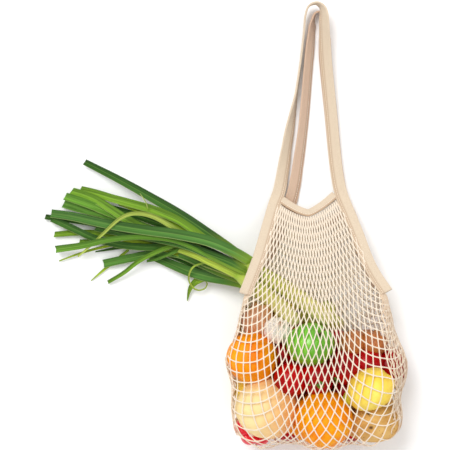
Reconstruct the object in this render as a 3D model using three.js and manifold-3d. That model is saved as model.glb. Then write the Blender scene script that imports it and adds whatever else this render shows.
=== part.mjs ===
// A cotton string market bag, filled with fruit and leeks, lying on its back.
//
// Frame: millimetres, +Z up from the surface that the bag lies on, +Y towards the top of the
// handles, +X to the right of the shown side. The origin is under the middle of the whole thing.
// A handle is one long woven band: it starts in a loose end at the foot of one side opening, runs
// up the edge of the front or back panel, over the top, and down the other edge. A short hem
// closes each panel between the bands. The net is knitted in one piece: two panels, and a sack
// below them that is stretched over the fruit. The leeks come out of the left side opening.

import * as THREE from "three";
import { mergeVertices } from "three/addons/utils/BufferGeometryUtils.js";
import Module from "manifold-3d";

const wasm = await Module();
wasm.setup();

// ---------------------------------------------------------------- driving dimensions, mm
const GAP = 0.35; // air between pieces that touch
const SPLINTER = 0.04; // faces thinner than this, left by a cut, are closed up
const BAND_WIDTH = 19.5; // woven cotton band
const BAND_THICK = 3;
const HEM_WIDTH = 12.5;
const NET_THICK = 3; // a panel of gathered net

const HEM_HEIGHT = 28; // the front panel's height over the floor at its hem
const HEM_Y = 15; // where that panel starts
const PANEL_SLOPE = 0.58; // rise of the front panel for each mm towards the fruit
const PANEL_MEETS = -106; // at the foot of the side openings, it becomes a side of the sack
const PANEL_END = -168; // and has gone over into it here
const RIGHT_DROP = 24; // the panel's right edge is lower, with no leeks under it

const SOFT = 8; // rounding of the dips between fruit
const TAUT = 0.58; // 0 is a net that clings to each fruit, 1 one stretched flat between them
const PULLS = 320; // directions in which the taut net is measured
const SACK_RINGS = 30; // around the sack, seen from its spine
const SACK_SPOKES = 62;
const CAP_SHARE = 0.26; // share of the rings in the cap at each end
const CAP_TILT = 86; // degrees that a cap's last ring leans along the spine

const SPINE = { x: 143, z: 62, top: -150, foot: -262 }; // middle line of the sack

// Fruit that bulges the net: middle x, y, z, half sizes along x, y, z, and turn about Z in degrees.
const FRUIT = {
  orange_left: [41, -200, 84, 39, 39, 39, 0],
  melon: [60, -276, 76, 48, 47, 46, 0],
  orange_middle: [148, -291, 90, 43.5, 43.5, 43.5, 0],
  potato: [223, -298, 70, 41, 32, 32, -8],
  lemon: [216, -246, 110, 39, 30, 30, 24],
  apple: [127, -179, 109, 36.5, 32, 34, 0],
  tomato_a: [99, -231, 95, 27, 26, 26, 0],
  tomato_b: [138, -229, 98, 26, 26, 26, 0],
  tomato_c: [177, -214, 97, 27, 26, 26, 0],
  tomato_d: [214, -200, 88, 26, 26, 26, 0],
  tomato_e: [247, -214, 62, 25, 30, 30, 0],
  onion_a: [188, -177, 92, 21, 21, 21, 0],
  onion_b: [222, -176, 80, 21, 21, 21, 0],
  onion_left: [49, -143, 72, 25, 29, 27, 0],
  garlic: [82, -154, 96, 17, 17, 16, 0],
  radish_a: [31, -303, 60, 14, 14, 14, 0],
  radish_b: [42, -317, 54, 14, 14, 14, 0],
  radish_c: [56, -321, 48, 13, 13, 13, 0],
  back_apple: [58, -212, 35, 37, 35, 36, 0],
  back_orange: [112, -284, 40, 41, 41, 41, 0],
  back_potato: [200, -277, 33, 48, 36, 34, 12],
  back_pear: [132, -196, 36, 40, 36, 37, 0],
  back_onion: [214, -192, 33, 35, 33, 34, 0],
  back_pepper: [217, -146, 46, 31, 34, 44, 0],
  back_lemon: [74, -140, 34, 38, 30, 34, 0],
  back_beet: [146, -142, 36, 36, 30, 36, 0],
  heart: [143, -216, 64, 92, 82, 46, 0], // the middle of the heap, filled as one
};

// Corners of the bag's mouth, to which the net is pulled: x, y, z.
const MOUTH = [
  [84, 38, 12], [126, 14, 26], [168, 46, 10], // front hem
  [30, -104, 96], [242, -102, 73], // front bands' feet
  [94, 18, 0], [186, 22, 0], [36, -96, 0], [232, -92, 0], // the same of the back
];

// ---------------------------------------------------------------- small helpers
const { cos, sin, sqrt, exp, log, hypot, PI } = Math;
const rad = THREE.MathUtils.degToRad;
const lerp = THREE.MathUtils.lerp;
const clamp = THREE.MathUtils.clamp;
const smooth = THREE.MathUtils.smoothstep;
const vec = (x, y, z) => new THREE.Vector3(x, y, z);

/** Closed mesh of rings of equal length, with a fan on each end; rings run head to foot. */
function tubeOfRings(rings) {
  const n = rings[0].length;
  const points = rings.flat();
  const faces = [];
  for (let r = 0; r < rings.length - 1; r += 1) {
    for (let i = 0; i < n; i += 1) {
      const j = (i + 1) % n;
      const [a, b, c, d] = [r * n + i, r * n + j, (r + 1) * n + j, (r + 1) * n + i];
      faces.push(a, b, c, a, c, d);
    }
  }
  const caps = [0, (rings.length - 1) * n];
  caps.forEach((start, end) => {
    const middle = points.length;
    const sum = vec(0, 0, 0);
    for (let i = 0; i < n; i += 1) sum.add(points[start + i]);
    points.push(sum.divideScalar(n));
    for (let i = 0; i < n; i += 1) {
      const [a, b] = [start + i, start + ((i + 1) % n)];
      faces.push(...(end === 0 ? [middle, b, a] : [middle, a, b]));
    }
  });
  return geometryOf(points, faces);
}

function geometryOf(points, faces) {
  const geometry = new THREE.BufferGeometry();
  geometry.setFromPoints(points);
  geometry.setIndex(faces);
  return geometry;
}

/** A solid for joining and cutting, turned the right way out. */
function solidOf(geometry) {
  const bare = geometry.clone();
  bare.deleteAttribute("normal");
  bare.deleteAttribute("uv");
  const merged = mergeVertices(bare, 1e-4);
  const vertProperties = new Float32Array(merged.attributes.position.array);
  const triVerts = new Uint32Array(merged.index.array);
  if (volumeOf(vertProperties, triVerts) < 0) {
    for (let i = 0; i < triVerts.length; i += 3) {
      [triVerts[i + 1], triVerts[i + 2]] = [triVerts[i + 2], triVerts[i + 1]];
    }
  }
  return new wasm.Manifold(new wasm.Mesh({ numProp: 3, vertProperties, triVerts }));
}

function volumeOf(xyz, tri) {
  const [a, b, c] = [vec(0, 0, 0), vec(0, 0, 0), vec(0, 0, 0)];
  let sum = 0;
  for (let i = 0; i < tri.length; i += 3) {
    a.fromArray(xyz, 3 * tri[i]);
    b.fromArray(xyz, 3 * tri[i + 1]);
    c.fromArray(xyz, 3 * tri[i + 2]);
    sum += a.dot(b.cross(c)) / 6;
  }
  return sum;
}

/** The largest body of a cut solid, without the splinters that a cut leaves along its edges. */
function largestBody(solid) {
  const bodies = solid.simplify(SPLINTER).decompose();
  return bodies.reduce((best, one) => (one.volume() > best.volume() ? one : best));
}

function meshOf(name, solid, finish) {
  const { vertProperties, triVerts } = solid.getMesh();
  const geometry = new THREE.BufferGeometry();
  geometry.setAttribute("position", new THREE.BufferAttribute(vertProperties, 3));
  geometry.setIndex(new THREE.BufferAttribute(triVerts, 1));
  geometry.computeVertexNormals();
  const mesh = new THREE.Mesh(geometry, new THREE.MeshStandardMaterial(finish));
  mesh.name = name;
  return mesh;
}

// ---------------------------------------------------------------- the stretched net
/** Distance outside one fruit, near enough for fruit that is not far from round. */
function outsideFruit(p, [cx, cy, cz, a, b, c, turn]) {
  const [dx, dy, dz] = [p.x - cx, p.y - cy, p.z - cz];
  const [co, si] = [cos(rad(turn)), sin(rad(turn))];
  const [u, v] = [dx * co + dy * si, dy * co - dx * si];
  const reach = hypot(u / a, v / b, dz / c);
  const slope = hypot(u / (a * a), v / (b * b), dz / (c * c));
  return (reach * (reach - 1)) / Math.max(slope, 1e-9);
}

/** Even directions all round, by the golden angle. */
function directions(count) {
  const golden = PI * (3 - sqrt(5));
  return Array.from({ length: count }, (_, i) => {
    const z = 1 - (2 * i + 1) / count;
    const r = sqrt(1 - z * z);
    return vec(r * cos(golden * i), r * sin(golden * i), z);
  });
}

/** How far one fruit reaches in a direction. */
function fruitReach(way, [cx, cy, cz, a, b, c, turn]) {
  const [co, si] = [cos(rad(turn)), sin(rad(turn))];
  const [u, v] = [way.x * co + way.y * si, way.y * co - way.x * si];
  return way.x * cx + way.y * cy + way.z * cz + hypot(u * a, v * b, way.z * c);
}

const PULL_LINES = directions(PULLS).map((way) => {
  const fruit = Math.max(...Object.values(FRUIT).map((one) => fruitReach(way, one)));
  const mouth = Math.max(...MOUTH.map(([x, y, z]) => way.x * x + way.y * y + way.z * z));
  return { way, fruit, bag: Math.max(fruit, mouth) };
});

/**
 * Distance outside the net: between that from a soft union of the fruit and that from the tight
 * wrapping round all of them. `neck` is 1 where the wrapping runs on to the bag's mouth, and 0
 * where it closes round the fruit.
 */
function outsideNet(p, neck) {
  let sum = 0;
  for (const fruit of Object.values(FRUIT)) sum += exp(-outsideFruit(p, fruit) / SOFT);
  const clinging = -SOFT * log(Math.max(sum, 1e-30));
  let wrapping = -Infinity;
  for (const { way, fruit, bag } of PULL_LINES) {
    wrapping = Math.max(wrapping, way.dot(p) - lerp(fruit, bag, neck));
  }
  return lerp(clinging, wrapping, TAUT);
}

/** How far down the sack a point is: 0 at the side openings, 1 where the sack closes. */
const downSack = (y) => smooth(-y, -PANEL_MEETS, -PANEL_END);

/** Where a ray from `start` along `way` leaves the net for good. */
function leavesNet(start, way, neckAt, far = 250, step = 3) {
  const at = (r) => start.clone().addScaledVector(way, r);
  const outside = (r) => outsideNet(at(r), neckAt(at(r).y)) > 0;
  let outer = far;
  while (outer > 0 && outside(outer - step)) outer -= step;
  let inner = Math.max(outer - step, 0);
  for (let k = 0; k < 12; k += 1) {
    const middle = (inner + outer) / 2;
    if (outside(middle)) outer = middle;
    else inner = middle;
  }
  return at(outer);
}

/** The sack: rings of rays round its spine, which turn into a cap at each end. */
function sack() {
  const rings = [];
  for (let r = 0; r <= SACK_RINGS; r += 1) {
    const t = r / SACK_RINGS;
    const head = clamp(1 - t / CAP_SHARE, 0, 1);
    const foot = clamp((t - 1 + CAP_SHARE) / CAP_SHARE, 0, 1);
    const along = clamp((t - CAP_SHARE) / (1 - 2 * CAP_SHARE), 0, 1);
    const tilt = rad(CAP_TILT) * (head - foot);
    const start = vec(SPINE.x, lerp(SPINE.top, SPINE.foot, along), SPINE.z);
    const ring = [];
    for (let i = 0; i < SACK_SPOKES; i += 1) {
      const turn = (2 * PI * i) / SACK_SPOKES;
      const way = vec(cos(turn) * cos(tilt), sin(tilt), sin(turn) * cos(tilt));
      const point = leavesNet(start, way, downSack);
      point.z = Math.max(point.z, 0);
      ring.push(point);
    }
    rings.push(ring);
  }
  return solidOf(tubeOfRings(rings));
}

/** Height of the plane in which the front panel hangs from its hem to the fruit. */
function panelPlane(x, y) {
  const down = HEM_Y - y;
  return HEM_HEIGHT + PANEL_SLOPE * down - RIGHT_DROP * smooth(x, 150, 235) * smooth(down, 20, 120);
}

/** Height of the front panel over a point of the floor: at its foot it lies on the sack. */
function frontHeight(x, y) {
  const plane = panelPlane(x, y);
  if (y > PANEL_MEETS) return plane;
  const sackTop = leavesNet(vec(x, y, 20), vec(0, 0, 1), () => 1, 160, 4).z;
  const dip = NET_THICK * 0.7 * smooth(-y, -PANEL_END - 12, -PANEL_END);
  return lerp(plane, sackTop, downSack(y)) - dip;
}

// ---------------------------------------------------------------- woven bands
/** A flat band along a path of band points. */
function band(path, width, thick, grow = 0, steps = 4) {
  const curve = curveOf(path);
  const count = (path.length - 1) * steps;
  const rings = [];
  for (let s = 0; s <= count; s += 1) {
    const t = s / count;
    const middle = curve.getPoint(t);
    const tangent = curve.getTangent(t);
    if (s === 0) middle.addScaledVector(tangent, -grow);
    if (s === count) middle.addScaledVector(tangent, grow);
    const [across, up] = sides(tangent, rollAt(path, t, middle, tangent));
    const [w, h] = [width / 2 + grow, thick / 2 + grow];
    const corner = (a, b) => middle.clone().addScaledVector(across, a).addScaledVector(up, b);
    rings.push([corner(-w, -h), corner(w, -h), corner(w, h), corner(-w, h)]);
  }
  return solidOf(tubeOfRings(rings));
}

function curveOf(path) {
  return new THREE.CatmullRomCurve3(path.map(([x, y, z]) => vec(x, y, z)), false, "centripetal");
}

/** The roll of a band at t: eased between its points, and flat on the panel where it is sewn on. */
function rollAt(path, t, middle, tangent) {
  const place = Math.min(t * (path.length - 1), path.length - 1 - 1e-9);
  const [i, f] = [Math.floor(place), place % 1];
  const ease = f * f * (3 - 2 * f);
  const free = rad(lerp(path[i][3], path[i + 1][3], ease));
  const sewn = lerp(path[i][4], path[i + 1][4], ease);
  const [across, up] = sides(tangent, 0);
  const normal = panelNormal(middle);
  return lerp(free, Math.atan2(-across.dot(normal), up.dot(normal)), sewn);
}

function panelNormal({ x, y }) {
  const reach = 2;
  const slopeX = (panelPlane(x + reach, y) - panelPlane(x - reach, y)) / (2 * reach);
  const slopeY = (panelPlane(x, y + reach) - panelPlane(x, y - reach)) / (2 * reach);
  return vec(-slopeX, -slopeY, 1).normalize();
}

/** The directions across and up from a band that runs along `tangent`, rolled about it. */
function sides(tangent, roll) {
  const across = vec(0, 0, 1).cross(tangent).normalize().applyAxisAngle(tangent, roll);
  return [across, tangent.clone().cross(across)];
}

// A band's points are x, y, z of its middle, its roll (90 is on edge), and 1 where it is sewn to
// the front panel, whose slope it then takes.

/** Puts a band's point on the front panel, with the band's middle in the net. */
const onPanel = (x, y, lift = 0) => [x, y, panelPlane(x, y) - NET_THICK / 2 + lift, 0, 1];

/** Puts a band's point on the floor, or `lift` over it, for its roll. */
function lying(x, y, roll = 0, lift = 0) {
  const half = (BAND_WIDTH / 2) * sin(rad(roll)) + (BAND_THICK / 2) * cos(rad(roll));
  return [x, y, half + lift, roll, 0];
}

const OVER = BAND_THICK + 1; // height of a band that lies over another

const FRONT_HANDLE = [
  onPanel(30, -104.5, 3),
  onPanel(41, -77, 1.5),
  onPanel(52, -47),
  onPanel(67, 4),
  onPanel(75, 30, -1),
  lying(82, 50, 10, 7),
  lying(88, 82, 22, 1.8),
  lying(95, 126, 42, 1),
  lying(109, 206, 84, 0.4),
  lying(116, 260, 90, 2),
  lying(119.5, 292, 90, 5),
  lying(121.5, 315, 90, 9),
  lying(126, 328, 90, 12),
  lying(134, 332.5, 86, 14),
  lying(143, 330, 74, 17),
  lying(148.5, 320, 54, 21.5),
  lying(149.5, 303, 40, 21.5),
  lying(151.5, 262, 28, 12),
  lying(160, 170, 20, OVER),
  lying(168.5, 82, 18, OVER),
  lying(175, 48, 8, OVER + 4),
  onPanel(187, 16),
  onPanel(198, -12),
  onPanel(215, -57),
  onPanel(226, -78, 1.5),
  onPanel(242, -102, 4),
];

const BACK_HANDLE = [
  lying(36, -96),
  lying(60, -54),
  lying(82, -8, 0, 0.3),
  lying(98, 30, 2, 0.6),
  lying(105, 56, 24, 1),
  lying(110.5, 90, 34, 0.4),
  lying(118.5, 150, 44, 0.4),
  lying(127.5, 255, 48, 0.4),
  lying(131.5, 296, 60, 0.4),
  lying(133.5, 311, 80, 0.4),
  lying(138, 320, 90, 0.4),
  lying(145, 320, 90, 0.4),
  lying(149.5, 312, 88, 0.4),
  lying(150.5, 296, 66, 1.2),
  lying(151, 276, 20, 2),
  lying(152, 250, 0, 1.4),
  lying(160, 170, 0, 0.4),
  lying(169, 82),
  lying(176, 46),
  lying(192, 6),
  lying(210, -46),
  lying(232, -92),
];

// Hems: the two ends of the middle line in plan, and how far it sags between them.
const FRONT_HEM = { left: [84, 38], right: [168, 46], sag: 25 };
const BACK_HEM = { left: [94, 18], right: [186, 22], sag: 23 };

/** A hem between two bands: a short band that sags in the middle to a soft crease. */
function hem({ left, right, sag }, pointAt, grow = 0) {
  const path = [];
  const steps = 8;
  for (let i = 0; i <= steps; i += 1) {
    const a = i / steps;
    const x = lerp(left[0], right[0], a);
    const y = lerp(left[1], right[1], a) - sag * (1 - Math.abs(2 * a - 1) ** 1.4);
    path.push(pointAt(x, y));
  }
  return band(path, HEM_WIDTH, BAND_THICK, grow, 1);
}

// ---------------------------------------------------------------- net panels
/** A panel of net between two side lines, from a far row to a near row. */
function panel(rows, columns, edge, heightAt, thick) {
  const top = [];
  for (let r = 0; r <= rows; r += 1) {
    const b = r / rows;
    const [left, right] = edge(b);
    const line = [];
    for (let c = 0; c <= columns; c += 1) {
      const a = c / columns;
      const [x, y] = [lerp(left[0], right[0], a), lerp(left[1], right[1], a)];
      line.push(vec(x, y, heightAt(x, y)));
    }
    top.push(line);
  }
  const rings = top.map((line) => {
    const under = line.map((p) => vec(p.x, p.y, p.z - thick)).reverse();
    return [...line, ...under];
  });
  return solidOf(tubeOfSheets(rings));
}

/** Like tubeOfRings, but each end is closed by a strip between its upper and lower edge. */
function tubeOfSheets(rings) {
  const n = rings[0].length;
  const points = rings.flat();
  const faces = [];
  for (let r = 0; r < rings.length - 1; r += 1) {
    for (let i = 0; i < n; i += 1) {
      const j = (i + 1) % n;
      const [a, b, c, d] = [r * n + i, r * n + j, (r + 1) * n + j, (r + 1) * n + i];
      faces.push(a, b, c, a, c, d);
    }
  }
  for (const [start, flip] of [[0, true], [(rings.length - 1) * n, false]]) {
    for (let i = 0; i < n / 2 - 1; i += 1) {
      const [a, b, c, d] = [start + i, start + i + 1, start + n - 2 - i, start + n - 1 - i];
      faces.push(...(flip ? [a, c, b, a, d, c] : [a, b, c, a, c, d]));
    }
  }
  return geometryOf(points, faces);
}

// The panels' side lines run under the middle of their bands, from the hem to the fruit.
const FRONT_SIDES = { left: [[78, 42], [36, -92], [44, PANEL_END]], right: [[174, 48], [234, -92], [240, PANEL_END]] };
const BACK_SIDES = { left: [[92, 18], [48, -76], [60, -150]], right: [[187, 20], [222, -72], [222, -150]] };

/** A point on a side line of three points, the middle one at a share of 0.62. */
function alongSide([top, shoulder, foot], b) {
  const bend = 0.62;
  const [from, to, f] = b < bend ? [top, shoulder, b / bend] : [shoulder, foot, (b - bend) / (1 - bend)];
  return [lerp(from[0], to[0], f), lerp(from[1], to[1], f)];
}

const sideLines = (lines) => (b) => [alongSide(lines.left, b), alongSide(lines.right, b)];

// ---------------------------------------------------------------- leeks
const STALK_RADIUS = 12;
const LEAF_THICK = 1.8;
const LEAF_WAVE = 9; // degrees that a leaf rolls to and fro
const LEAF_WAVES = 1.4; // times along its length

// A leaf: the points of its midrib from inside the stalk to its tip, its width, how deep it is
// folded along the midrib as a share of its width, and the share of the width left at its tip.
const LEEKS = {
  leek_a: {
    stalk: [
      [158, -146, 94], [130, -124, 89], [94, -98, 74], [57, -77, 63], [34, -62, 56], [18, -52, 52],
    ],
    leaves: [
      {
        rib: [[44, -66, 60], [0, -30, 52], [-82, 28, 33], [-150, 62, 20], [-211, 94, 9]],
        width: 12, fold: 0.34, tip: 0.8,
      },
      {
        rib: [[40, -66, 58], [-4, -36, 47], [-67, 8, 35], [-110, 27, 27], [-159, 44, 19], [-219, 54, 9]],
        width: 16, fold: 0.16, tip: 0.75,
      },
      {
        rib: [[40, -67, 56], [-20, -36, 40], [-92, 14, 26], [-150, 36, 18], [-232, 48, 9]],
        width: 14, fold: 0.2, tip: 0.6,
      },
      {
        rib: [[38, -68, 54], [-30, -40, 34], [-88, -6, 20], [-150, 14, 13], [-198, 26, 8], [-240, 34, 5]],
        width: 19, fold: 0.13, tip: 0.7,
      },
      {
        rib: [[36, -70, 50], [-30, -46, 30], [-88, -22, 18], [-150, 0, 11], [-210, 12, 7]],
        width: 16, fold: 0.15, tip: 0.5,
      },
    ],
  },
  leek_b: {
    stalk: [[108, -150, 80], [81, -122, 80], [50, -98, 74], [28, -84, 66], [12, -76, 60]],
    leaves: [
      {
        rib: [[36, -90, 70], [-4, -62, 58], [-60, -30, 46], [-130, -14, 34], [-195, 0, 25], [-262, 17, 15]],
        width: 18, fold: 0.12, tip: 0.7,
      },
      {
        rib: [
          [34, -91, 68], [-10, -66, 54], [-46, -36, 50], [-80, -24, 49],
          [-120, -20, 42], [-172, -22, 31], [-215, -31, 20], [-254, -37, 11],
        ],
        width: 13, fold: 0.18, tip: 0.75,
      },
      {
        rib: [[32, -92, 64], [0, -72, 56], [-36, -56, 46], [-72, -39, 40]],
        width: 10, fold: 0.3, tip: 0.3,
      },
      {
        rib: [
          [30, -88, 69], [-20, -56, 60], [-74, -5, 56], [-99, 12, 54],
          [-131, 16, 51], [-160, 3, 46], [-183, -15, 41], [-204, -32, 34], [-222, -48, 27],
        ],
        width: 6, fold: 0.25, tip: 0.2,
      },
    ],
  },
  leek_c: {
    stalk: [[118, -124, 36], [84, -106, 35], [52, -90, 34], [26, -80, 33], [6, -74, 31]],
    leaves: [
      {
        rib: [[34, -86, 31], [-30, -62, 20], [-100, -30, 8], [-170, -14, 5.5], [-216, -12, 4.5], [-256, -15, 3]],
        width: 11, fold: 0.16, tip: 0.7,
      },
      {
        rib: [[34, -88, 34], [-20, -68, 22], [-80, -42, 11], [-140, -34, 7], [-196, -42, 5]],
        width: 15, fold: 0.12, tip: 0.3,
      },
      {
        rib: [[36, -86, 33], [-30, -58, 23], [-110, -20, 12], [-190, 2, 8], [-271, 12, 5]],
        width: 9, fold: 0.2, tip: 0.5,
      },
      {
        rib: [[34, -87, 28], [-30, -70, 16], [-90, -48, 7], [-170, -36, 4], [-214, -46, 3], [-250, -56, 2]],
        width: 6, fold: 0.2, tip: 0.25,
      },
      {
        rib: [[34, -88, 36], [-10, -72, 31], [-70, -44, 23], [-100, -44, 16], [-141, -50, 9], [-180, -58, 5]],
        width: 13, fold: 0.1, tip: 0.8,
      },
      {
        rib: [
          [32, -89, 38], [-20, -60, 36], [-63, -30, 33], [-90, -36, 27],
          [-130, -55, 17], [-155, -73, 10], [-176, -89, 5],
        ],
        width: 7, fold: 0.35, tip: 0.7,
      },
      {
        rib: [[32, -92, 33], [10, -90, 28], [-56, -78, 14], [-84, -64, 9], [-110, -50, 6]],
        width: 18, fold: 0.12, tip: 0.5,
      },
      {
        rib: [[20, -88, 26], [-20, -84, 17], [-42, -87, 11], [-54, -98, 7], [-57, -114, 4]],
        width: 8, fold: 0.2, tip: 0.3,
      },
    ],
  },
};

/** A leek's stalk: round, a little flattened, and blunt at both ends. */
function stalk(path, grow) {
  const curve = curveOf(path);
  const steps = 4 * (path.length - 1);
  const sidesRound = 12;
  const rings = [];
  for (let s = 0; s <= steps; s += 1) {
    const t = s / steps;
    const blunt = 1 - 0.35 * (1 - smooth(t, 0, 0.08)) - 0.3 * smooth(t, 0.8, 1);
    const middle = curve.getPoint(t);
    const tangent = curve.getTangent(t);
    if (s === 0) middle.addScaledVector(tangent, -grow);
    if (s === steps) middle.addScaledVector(tangent, grow);
    const [across, up] = sides(tangent, 0);
    const r = STALK_RADIUS * blunt + grow;
    const ring = [];
    for (let i = 0; i < sidesRound; i += 1) {
      const turn = (2 * PI * i) / sidesRound;
      ring.push(middle.clone().addScaledVector(across, r * cos(turn)).addScaledVector(up, r * sin(turn)));
    }
    rings.push(ring);
  }
  return solidOf(tubeOfRings(rings));
}

/** A leaf: a thin wavy strip folded along its midrib, both faces split alike. */
function leaf({ rib, width, fold, tip }, grow) {
  const curve = curveOf(rib);
  const steps = 3 * (rib.length - 1);
  const rings = [];
  for (let s = 0; s <= steps; s += 1) {
    const t = s / steps;
    const middle = curve.getPoint(t);
    const tangent = curve.getTangent(t);
    if (s === steps) middle.addScaledVector(tangent, grow);
    const roll = rad(LEAF_WAVE) * sin(2 * PI * (LEAF_WAVES * t + width));
    const [across, up] = sides(tangent, roll);
    const half = (width / 2) * lerp(0.8, 1, smooth(t, 0, 0.3)) * lerp(1, tip, smooth(t, 0.6, 1));
    const ribs = [-1, 0, 1].map((k) => {
      const lift = Math.abs(k) * half * 2 * fold;
      return middle.clone().addScaledVector(across, k * (half + grow)).addScaledVector(up, lift);
    });
    const thick = LEAF_THICK / 2 + grow;
    const upper = ribs.map((p) => p.clone().addScaledVector(up, thick));
    const lower = ribs.map((p) => p.clone().addScaledVector(up, -thick)).reverse();
    rings.push([...upper, ...lower]);
  }
  return solidOf(tubeOfSheets(rings));
}

function leek({ stalk: path, leaves }, grow = 0) {
  return leaves.reduce((whole, one) => whole.add(leaf(one, grow)), stalk(path, grow));
}

// ---------------------------------------------------------------- build
const frontHandle = band(FRONT_HANDLE, BAND_WIDTH, BAND_THICK);
const backHandle = band(BACK_HANDLE, BAND_WIDTH, BAND_THICK);
const frontHandleRoom = band(FRONT_HANDLE, BAND_WIDTH, BAND_THICK, GAP);
const backHandleRoom = band(BACK_HANDLE, BAND_WIDTH, BAND_THICK, GAP);
const frontHem = largestBody(hem(FRONT_HEM, onPanel).subtract(frontHandleRoom));
const backHem = largestBody(hem(BACK_HEM, lying).subtract(backHandleRoom));

// A leek keeps clear of the bands and of the leeks that lie over it.
const leeks = {};
let taken = frontHandleRoom.add(backHandleRoom);
for (const [name, shape] of Object.entries(LEEKS)) {
  leeks[name] = largestBody(leek(shape).subtract(taken));
  taken = taken.add(leek(shape, GAP));
}

const frontPanel = panel(22, 16, sideLines(FRONT_SIDES), frontHeight, NET_THICK);
const backPanel = panel(3, 2, sideLines(BACK_SIDES), () => NET_THICK, NET_THICK);
const hemRoom = hem(FRONT_HEM, onPanel, GAP).add(hem(BACK_HEM, lying, GAP));
const netBag = largestBody(sack().add(frontPanel).add(backPanel).subtract(taken).subtract(hemRoom));

const cotton = { color: 0xf3e2c4, roughness: 0.9, metalness: 0 };
const shadedCotton = { color: 0xdcc4a4, roughness: 0.9, metalness: 0 };
const net = { color: 0xeddec9, roughness: 0.85, metalness: 0 };
const leafGreen = { color: 0x5c8f3c, roughness: 0.5, metalness: 0 };

const bag = new THREE.Group();
bag.add(meshOf("net_bag", netBag, net));
bag.add(meshOf("front_handle", frontHandle, cotton));
bag.add(meshOf("back_handle", backHandle, shadedCotton));
bag.add(meshOf("front_hem", frontHem, cotton));
bag.add(meshOf("back_hem", backHem, shadedCotton));
for (const [name, solid] of Object.entries(leeks)) bag.add(meshOf(name, solid, leafGreen));
export default bag;
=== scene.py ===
# %% [markdown]
# # A cotton string bag with its shopping
#
# The bag lies on its back, filled with fruit, vegetables and three leeks. Its solids come from the
# frame. Here each plain solid gets its real surface: knitted cord, woven bands, peel and leaf.
# Every shape is worked out with numpy on a grid, so a reader can follow it as a formula.

import bpy
import numpy as np
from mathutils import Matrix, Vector


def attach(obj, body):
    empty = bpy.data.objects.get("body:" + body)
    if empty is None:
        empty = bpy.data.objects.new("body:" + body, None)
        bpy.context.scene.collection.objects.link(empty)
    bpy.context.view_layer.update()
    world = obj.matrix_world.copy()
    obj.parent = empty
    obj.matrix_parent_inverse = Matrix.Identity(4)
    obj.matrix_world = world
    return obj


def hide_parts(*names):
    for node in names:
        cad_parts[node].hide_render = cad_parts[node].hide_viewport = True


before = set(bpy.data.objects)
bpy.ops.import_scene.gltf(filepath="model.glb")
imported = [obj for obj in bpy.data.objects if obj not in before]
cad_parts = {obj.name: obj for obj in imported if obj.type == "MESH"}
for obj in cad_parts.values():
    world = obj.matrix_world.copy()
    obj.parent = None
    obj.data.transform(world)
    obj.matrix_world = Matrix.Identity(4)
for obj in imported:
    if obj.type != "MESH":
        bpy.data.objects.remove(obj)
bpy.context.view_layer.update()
MM = 0.001
PI = np.pi
rng = np.random.default_rng(7)
print("solids:", ", ".join(sorted(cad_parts)))

# %% [markdown]
# ## Meshes from grids
#
# Most pieces are a grid of points, closed round one way: a fruit is a stack of rings from its stem
# to its other end, a cord is a row of rings along its path. One helper turns such rings into faces,
# so every other cell only has to say where the points are. The rings run against the clock, seen
# from the end that they lead to, and then all faces look outwards.

# %% Lengths, ways and soft steps
def length_of(v):
    """The length of each vector."""
    return np.linalg.norm(v, axis=-1)


def unit(v):
    """Each vector made one long."""
    return v / np.maximum(length_of(v), 1e-12)[..., None]


def travelled(path):
    """How far along a path each of its points is."""
    return np.append(0, length_of(np.diff(path, axis=0)).cumsum())


def smooth(x, low, high):
    """0 below `low`, 1 above `high`, and a soft step between."""
    t = np.clip((x - low) / (high - low), 0, 1)
    return t * t * (3 - 2 * t)


def lerp(a, b, t):
    """Straight on from a to b, as t goes from 0 to 1."""
    return a + (b - a) * t


def about(across, up, turn):
    """The way at each turn in a ring: cos turn across + sin turn up."""
    return np.cos(turn)[..., None] * across[:, None] + np.sin(turn)[..., None] * up[:, None]


print("a soft step from 0 to 1:", smooth(np.linspace(0, 1, 5), 0, 1).round(2))

# %% Skins of rings, and a mesh from them
def skin(rings, u=None, v=None, **marks):
    """One closed skin. `rings` holds points by ring and spoke. `u` goes round and `v` along.

    A face's corners are (ring, spoke), (ring, spoke + 1), (ring + 1, spoke + 1), (ring + 1, spoke),
    and each end is closed by triangles to the middle of its ring.
    """
    n, sides = rings.shape[:2]
    u = np.linspace(0, 1, sides + 1) if u is None else u
    if v is None:
        v = travelled(rings.mean(1))
    row, side = np.divmod(np.arange((n - 1) * sides), sides)
    here, ahead = row * sides, (row + 1) * sides
    after = (side + 1) % sides
    quads = np.stack([here + side, here + after, ahead + after, ahead + side], -1)
    quad_u = np.stack([u[side], u[side + 1], u[side + 1], u[side]], -1)
    quad_v = np.stack([v[row], v[row], v[row + 1], v[row + 1]], -1)
    spoke, last = np.arange(sides), (n - 1) * sides
    beside = np.roll(spoke, -1)
    caps = np.concatenate([
        np.stack([beside, spoke, 0 * spoke + n * sides], -1),
        np.stack([last + spoke, last + beside, 0 * spoke + n * sides + 1], -1),
    ])
    cap_u = np.stack([u[spoke + 1], u[spoke], u[spoke]], -1)
    cap_u = np.concatenate([cap_u, cap_u[:, [1, 0, 2]]])
    cap_v = np.repeat(v[[0, -1]], sides)[:, None] * np.ones((1, 3))
    ends = {}
    for key, values in marks.items():
        values = np.asarray(values, float)
        full = np.broadcast_to(values, (n, sides) + values.shape[2:])
        flat = full.reshape(n * sides, *full.shape[2:])
        ends[key] = np.concatenate([flat, full[[0, -1]].mean(1)])
    quad_uv, cap_uv = np.stack([quad_u, quad_v], -1), np.stack([cap_u, cap_v], -1)
    uv = np.concatenate([quad_uv.reshape(-1, 2), cap_uv.reshape(-1, 2)])
    points = np.concatenate([rings.reshape(-1, 3), rings[[0, -1]].mean(1)])
    return {"points": points, "quads": quads, "caps": caps, "uv": uv, "marks": ends}


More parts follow.
